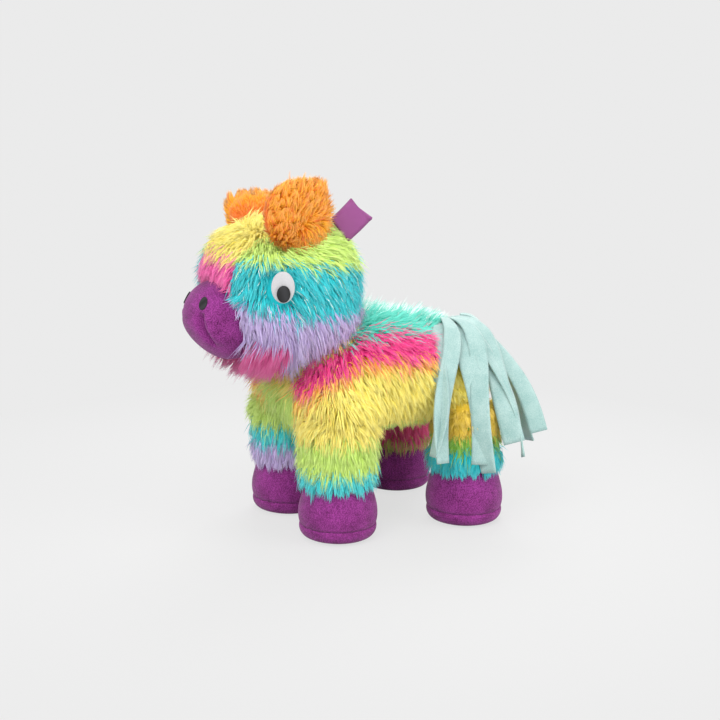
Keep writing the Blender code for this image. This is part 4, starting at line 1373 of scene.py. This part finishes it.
@dataclass
class Neck:
    """The short furred neck between head and torso.

    Attributes:
        radius: Radius of the skin under the pile.
        strands: Strands scattered over it.
        cut: Cut of its pile.
    """

    radius: float = 0.0300
    strands: int = 13000
    cut: PileCut = PileCut(length=0.0110, lean=1.0)

    def build(self, wardrobe: Wardrobe, bare: Field) -> None:
        """Build the stuffed ball with its pile.

        Args:
            wardrobe: The finishes.
            bare: Tells which roots the head and the torso cover.
        """
        centre = joint_place("neck_turn")
        skin = rounded_skin(centre, np.full(3, self.radius), 2.0, 30, 48)

        def dye(roots: Array) -> Array:
            """Give each root its stripe: lemon, with lime low on the chest."""
            return banded(roots[:, 2] - centre[2], [-0.030], [Dye.LIME, Dye.LEMON], 51)

        def keep(roots: Array) -> Array:
            """Tell which roots lie open."""
            return ~bare(roots)

        body = finish_piece(skin.dyed_object("neck_skin", dye), "neck", wardrobe.pile, "rainbow_plush",
                            "neck_stuffing")
        pile = Pile(skin, self.cut, self.strands, 500, dye, downwards, keep)
        finish_piece(pile.object("neck_pile"), "neck", wardrobe.pile, "rainbow_plush")


def ribbon(name: str, centres: Array, across: Array, widths: Array, thick: float) -> bpy.types.Object:
    """A flat band carried along a path: at each row a rounded rectangle of the row's width stands across it.

    Args:
        name: Name of the piece.
        centres: Points of the path.
        across: Direction across the band at each point.
        widths: Width at each point.
        thick: Thickness.

    Returns:
        The mesh object, closed at both ends.
    """
    along = unit(np.gradient(centres, axis=0))
    across = unit(across - np.sum(across * along, axis=-1, keepdims=True) * along)
    out = np.cross(along, across)
    span = np.linspace(-1.0, 1.0, 9)
    outline = np.concatenate([np.stack([span, np.ones(9)], -1), np.stack([span[::-1], -np.ones(9)], -1)])
    points = (centres[:, None] + outline[None, :, :1] * across[:, None] * widths[:, None, None] / 2.0
              + outline[None, :, 1:] * out[:, None] * thick / 2.0)
    return Skin(points, points * 0.0, (centres[0], centres[-1])).object(name)


@dataclass
class Tail:
    """Felt strips that fan out from a binding on the rump.

    Attributes:
        root_width: Width where a strip is gathered into the binding.
        felt: Its thickness.
        arch_rate: How early along the strip its arch ends.
        fall_power: How late along the strip the fall sets in.
        rise: Height of the arch over the rump.
        reach: How far out the inner strips end.
        tips: Height of each strip's end.
        layer: How far the outer layer lies over the inner one.
        spreads: Power of the way out along each strip; less than one goes out early.
        twists: Turn of each strip's end about its length, in radians.
        sways: How far each strip's middle bends to one side.
        drifts: How far each strip's end lies to one side.
        shares: Share of the way out that each strip's end reaches.
        spans: Width of each strip.
    """

    root_width: float = 0.0055
    felt: float = 0.0012
    arch_rate: float = 1.6
    fall_power: float = 2.0
    rise: float = 0.0015
    reach: float = 0.0800
    layer: float = 0.0032
    tips: tuple[float, ...] = (0.054, 0.050, 0.047, 0.042, 0.048, 0.058, 0.062, 0.046)
    spreads: tuple[float, ...] = (0.58, 0.60, 0.64, 0.68, 0.78, 0.88, 1.05, 1.00)
    twists: tuple[float, ...] = (1.2, -0.8, 0.6, 1.3, -1.0, 0.9, 1.2, -0.8)
    sways: tuple[float, ...] = (-0.006, 0.005, -0.004, 0.005, -0.006, 0.004, -0.006, 0.005)
    drifts: tuple[float, ...] = (-0.002, -0.010, 0.002, -0.008, 0.008, -0.011, -0.002, -0.004)
    shares: tuple[float, ...] = (1.04, 1.0, 1.0, 1.0, 1.0, 0.92, 1.0, 0.75)
    spans: tuple[float, ...] = (0.0110, 0.0120, 0.0125, 0.0125, 0.0110, 0.0145, 0.0120, 0.0120)

    def build(self, wardrobe: Wardrobe) -> None:
        """Build the strips and the binding."""
        low, high = (np.array(corner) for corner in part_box("tail_binding"))
        middle = (low + high) / 2.0
        polar = np.linspace(0.1, math.pi / 2, 10)
        radii = np.append((high[0] - low[0]) / 2.0 * np.sin(polar), (high[0] - low[0]) / 2.0)
        heights = np.append(low[2] + 0.7 * (high[2] - low[2]) * np.cos(polar), low[2] - 0.002)
        knot = turned_skin(np.array((middle[0], middle[1], 0.0)), radii, heights, 48, 0.02)
        finish_piece(knot.object("tail_binding_felt"), "torso", wardrobe.felt, "tail_felt", "tail_binding")
        for number in range(1, len(self.tips) + 1):
            self.build_strip(number, middle, wardrobe)

    def build_strip(self, number: int, middle: Array, wardrobe: Wardrobe) -> None:
        """Build one strip: out and over as a sine, down as a power of its length, with a soft twist.

        Args:
            number: Which strip, from 1.
            middle: Middle of the binding.
            wardrobe: The finishes.
        """
        hinge = joint_place(f"strip_{number}_lift")
        side = -joint_axis(f"strip_{number}_lift")
        out = np.array((side[1], -side[0], 0.0))
        share = np.linspace(0.0, 1.0, 60)
        start = float(np.linalg.norm((hinge - middle)[:2]))
        far = self.reach + self.layer * ((number + 1) % 2)
        far *= self.shares[number - 1]
        spread = share ** self.spreads[number - 1]
        reach = (far - start) * spread
        fall = (hinge[2] - self.tips[number - 1]) * share ** self.fall_power
        arch = self.rise * np.sin(math.pi * np.minimum(1.0, share * self.arch_rate))
        centres = hinge + out * reach[:, None]
        centres[:, 2] += arch - fall
        bend = self.sways[number - 1] * np.sin(share * 2.0 * math.pi) * share
        bend = bend + self.drifts[number - 1] * share ** 2
        centres += side * bend[:, None]
        twist = self.twists[number - 1] * share ** 2
        across = side * np.cos(twist)[:, None] + out * np.sin(twist)[:, None]
        width = self.spans[number - 1]
        widths = np.clip(self.root_width + (width - self.root_width) * share * 3.0, 0.0, width)
        piece = ribbon(f"tail_strip_{number}_felt", centres, across, widths, self.felt)
        finish_piece(piece, f"strip_{number}", wardrobe.felt, "tail_felt", f"tail_strip_{number}")


@dataclass
class LoopTag:
    """A folded ribbon in the left head seam.

    Attributes:
        width: Width along the seam.
        length: From the seam to the fold.
        thick: Thickness of the ribbon.
        gap: Half the space between its two layers.
        lean: Backward lean, in radians.
    """

    width: float = 0.020
    length: float = 0.020
    thick: float = 0.0006
    gap: float = 0.0006
    lean: float = math.radians(16.0)

    def build(self, wardrobe: Wardrobe) -> None:
        """Build the ribbon: up one layer, round the fold as a half circle, and down the other."""
        base = joint_place("tag_flap")
        along = joint_axis("tag_flap")
        upright = np.array((0.0, -along[2], along[1]))
        turn = np.array(Matrix.Rotation(-self.lean, 3, 'X'))
        out = turn @ upright
        side = np.array((1.0, 0.0, 0.0))
        fold = np.linspace(0.0, math.pi, 13)
        climb = np.linspace(0.0, self.length - self.gap, 14)
        reach = np.concatenate([climb, climb[-1] + self.gap * np.sin(fold[1:-1]), climb[::-1]])
        depth = np.concatenate([np.full(14, self.gap), self.gap * np.cos(fold[1:-1]), np.full(14, -self.gap)])
        depth += 0.0010 * np.sin(reach / self.length * 2.6)
        centres = base + reach[:, None] * out + depth[:, None] * side
        across = np.broadcast_to(along, centres.shape)
        piece = ribbon("loop_tag_ribbon", centres, across, np.full(len(centres), self.width), self.thick)
        finish_piece(piece, "tag", wardrobe.ribbon, "tag_ribbon", "loop_tag")


@dataclass
class Studio:
    """Pale floor and backdrop, soft lamps and the camera.

    Attributes:
        azimuth: Camera bearing from the front towards the toy's left, in radians.
        elevation: Camera height angle, in radians.
        distance: Camera distance from its target.
        lens: Lens on a 36 mm sensor, in millimetres.
        from_neck: Target of the camera, from the neck joint.
        pale: Grey of the floor and backdrop.
    """

    azimuth: float = math.radians(60.7)
    elevation: float = math.radians(11.9)
    distance: float = 0.966
    lens: float = 70.05
    from_neck: tuple[float, float, float] = (-0.0087, 0.0409, -0.0177)
    pale: float = 0.83

    def build(self) -> None:
        """Build the camera, the lamps, the floor and the world."""
        scene = bpy.context.scene
        scene.view_settings.view_transform = 'Standard'
        back = Vector((math.sin(self.azimuth) * math.cos(self.elevation),
                       -math.cos(self.azimuth) * math.cos(self.elevation), math.sin(self.elevation)))
        camera = bpy.data.objects.new("camera", bpy.data.cameras.new("camera"))
        camera.data.lens = self.lens
        camera.data.sensor_width = 36.0
        camera.location = Vector(joint_place("neck_turn") + np.array(self.from_neck)) + back * self.distance
        camera.rotation_mode = 'QUATERNION'
        camera.rotation_quaternion = (-back).to_track_quat('-Z', 'Y')
        camera.data.clip_start = 0.01
        scene.collection.objects.link(camera)
        scene.camera = camera
        self.lamp("key_lamp", (0.9, -0.9, 1.3), 18.5, 1.0)
        self.lamp("fill_lamp", (1.2, 0.9, 0.8), 13.5, 1.0)
        self.lamp("front_lamp", (0.3, -1.2, 1.1), 4.5, 1.0)
        self.lamp("back_lamp", (-0.9, 0.7, 1.1), 15.0, 0.9)
        self.floor()
        self.world()

    def lamp(self, name: str, place: tuple[float, float, float], watts: float, size: float) -> None:
        """Add a square soft lamp that faces the toy."""
        lamp = bpy.data.objects.new(name, bpy.data.lights.new(name, 'AREA'))
        lamp.data.energy = watts
        lamp.data.size = size
        lamp.location = place
        lamp.rotation_mode = 'QUATERNION'
        lamp.rotation_quaternion = (Vector((0.0, 0.0, 0.1)) - Vector(place)).to_track_quat('-Z', 'Y')
        bpy.context.scene.collection.objects.link(lamp)

    def floor(self) -> None:
        """Add a round floor whose shadow is kept faint by a share of plain glow seen by the camera."""
        radii = np.concatenate([np.linspace(0.02, 1.0, 12), np.linspace(1.5, 12.0, 8)])
        disc = turned_skin(np.zeros(3), radii, np.linspace(-0.0001, -0.00012, 20), 64)
        floor = disc.object("floor")
        material, sheet, shader = new_material("pale_floor")
        shader.inputs["Base Color"].default_value = (self.pale * 0.72,) * 3 + (1.0,)
        shader.inputs["Roughness"].default_value = 0.9
        path = sheet.add("ShaderNodeLightPath")
        where = sheet.add("ShaderNodeTexCoord")
        away = sheet.add("ShaderNodeVectorMath", operation='LENGTH')
        sheet.join(where.outputs["Object"], away.inputs[0])
        far = sheet.ramp(away.outputs["Value"], [(0.16, (0.80,) * 3), (0.42, (1.0,) * 3)])
        seen = sheet.math('MULTIPLY', path.outputs["Is Camera Ray"], far)
        glow = sheet.add("ShaderNodeEmission")
        glow.inputs["Color"].default_value = (self.pale,) * 3 + (1.0,)
        blend = sheet.add("ShaderNodeMixShader")
        sheet.join(seen, blend.inputs[0])
        sheet.join(shader.outputs[0], blend.inputs[1])
        sheet.join(glow.outputs[0], blend.inputs[2])
        sheet.join(blend.outputs[0], material.node_tree.nodes["Material Output"].inputs[0])
        floor.data.materials.append(material)

    def world(self) -> None:
        """Set a pale world that also fills the shadows."""
        world = bpy.data.worlds.new("pale_world")
        bpy.context.scene.world = world
        world.use_nodes = True
        sheet = NodeSheet(world.node_tree)
        path = sheet.add("ShaderNodeLightPath")
        sky = world.node_tree.nodes["Background"]
        sky.inputs["Color"].default_value = (self.pale,) * 3 + (1.0,)
        seen = sheet.math('MAXIMUM', path.outputs["Is Camera Ray"], path.outputs["Is Glossy Ray"])
        seen = sheet.math('MAXIMUM', seen, path.outputs["Is Transmission Ray"])
        strength = sheet.math('ADD', sheet.math('MULTIPLY', seen, 0.05), 0.95)
        sheet.join(strength, sky.inputs["Strength"])


@dataclass
class Toy:
    """The whole toy, and which of its skins cover each other.

    Attributes:
        torso: The body.
        head: The head with its face.
    """

    torso: Torso = field(default_factory=Torso)
    head: Head = field(default_factory=Head)

    def under_head_or_legs(self, roots: Array) -> Array:
        """Tell which of the torso's roots lie inside the head or a leg."""
        covered = self.head.inside(roots, -0.004)
        for leg in Leg:
            hip = joint_place(f"leg_{leg.value}_swing")
            covered |= (np.hypot(*(roots - hip)[:, :2].T) < 0.0185) & (roots[:, 2] < hip[2] + 0.003)
        return covered

    def under_face_or_torso(self, roots: Array) -> Array:
        """Tell which of the head's roots lie under the muzzle, an eye white or the torso."""
        covered = self.head.in_muzzle(roots, -0.0005) | self.torso.inside(roots, -0.004)
        for side in Side:
            off = (roots - self.head.eye_spot(side)[0]) / np.array((0.020, 0.0078, 0.0105))
            covered |= np.sum(off ** 2, axis=-1) < 1.0
        return covered

    def under_head_or_torso(self, roots: Array) -> Array:
        """Tell which of the neck's roots lie inside the head or the torso."""
        return self.head.inside(roots, -0.003) | self.under_torso(roots)

    def under_torso(self, roots: Array) -> Array:
        """Tell which roots lie inside the torso."""
        return self.torso.inside(roots, -0.003)

    def build(self, wardrobe: Wardrobe) -> None:
        """Build every sub-assembly, from the torso out.

        Args:
            wardrobe: The finishes.
        """
        self.torso.build(wardrobe, self.under_head_or_legs)
        self.head.build_pile(wardrobe, self.under_face_or_torso)
        self.head.build_face(wardrobe)
        Neck().build(wardrobe, self.under_head_or_torso)
        for side in Side:
            Ear(side, *EAR_SIZES[side]).build(wardrobe)
        for leg in Leg:
            LegBuild(leg).build(wardrobe, self.under_torso)
        LoopTag().build(wardrobe)
        Tail().build(wardrobe)


def main() -> None:
    """Build the studio and the toy, and report their pieces."""
    logging.basicConfig(level=logging.INFO, format="%(message)s")
    Studio().build()
    Toy().build(Wardrobe())


if __name__ == "__main__":
    main()
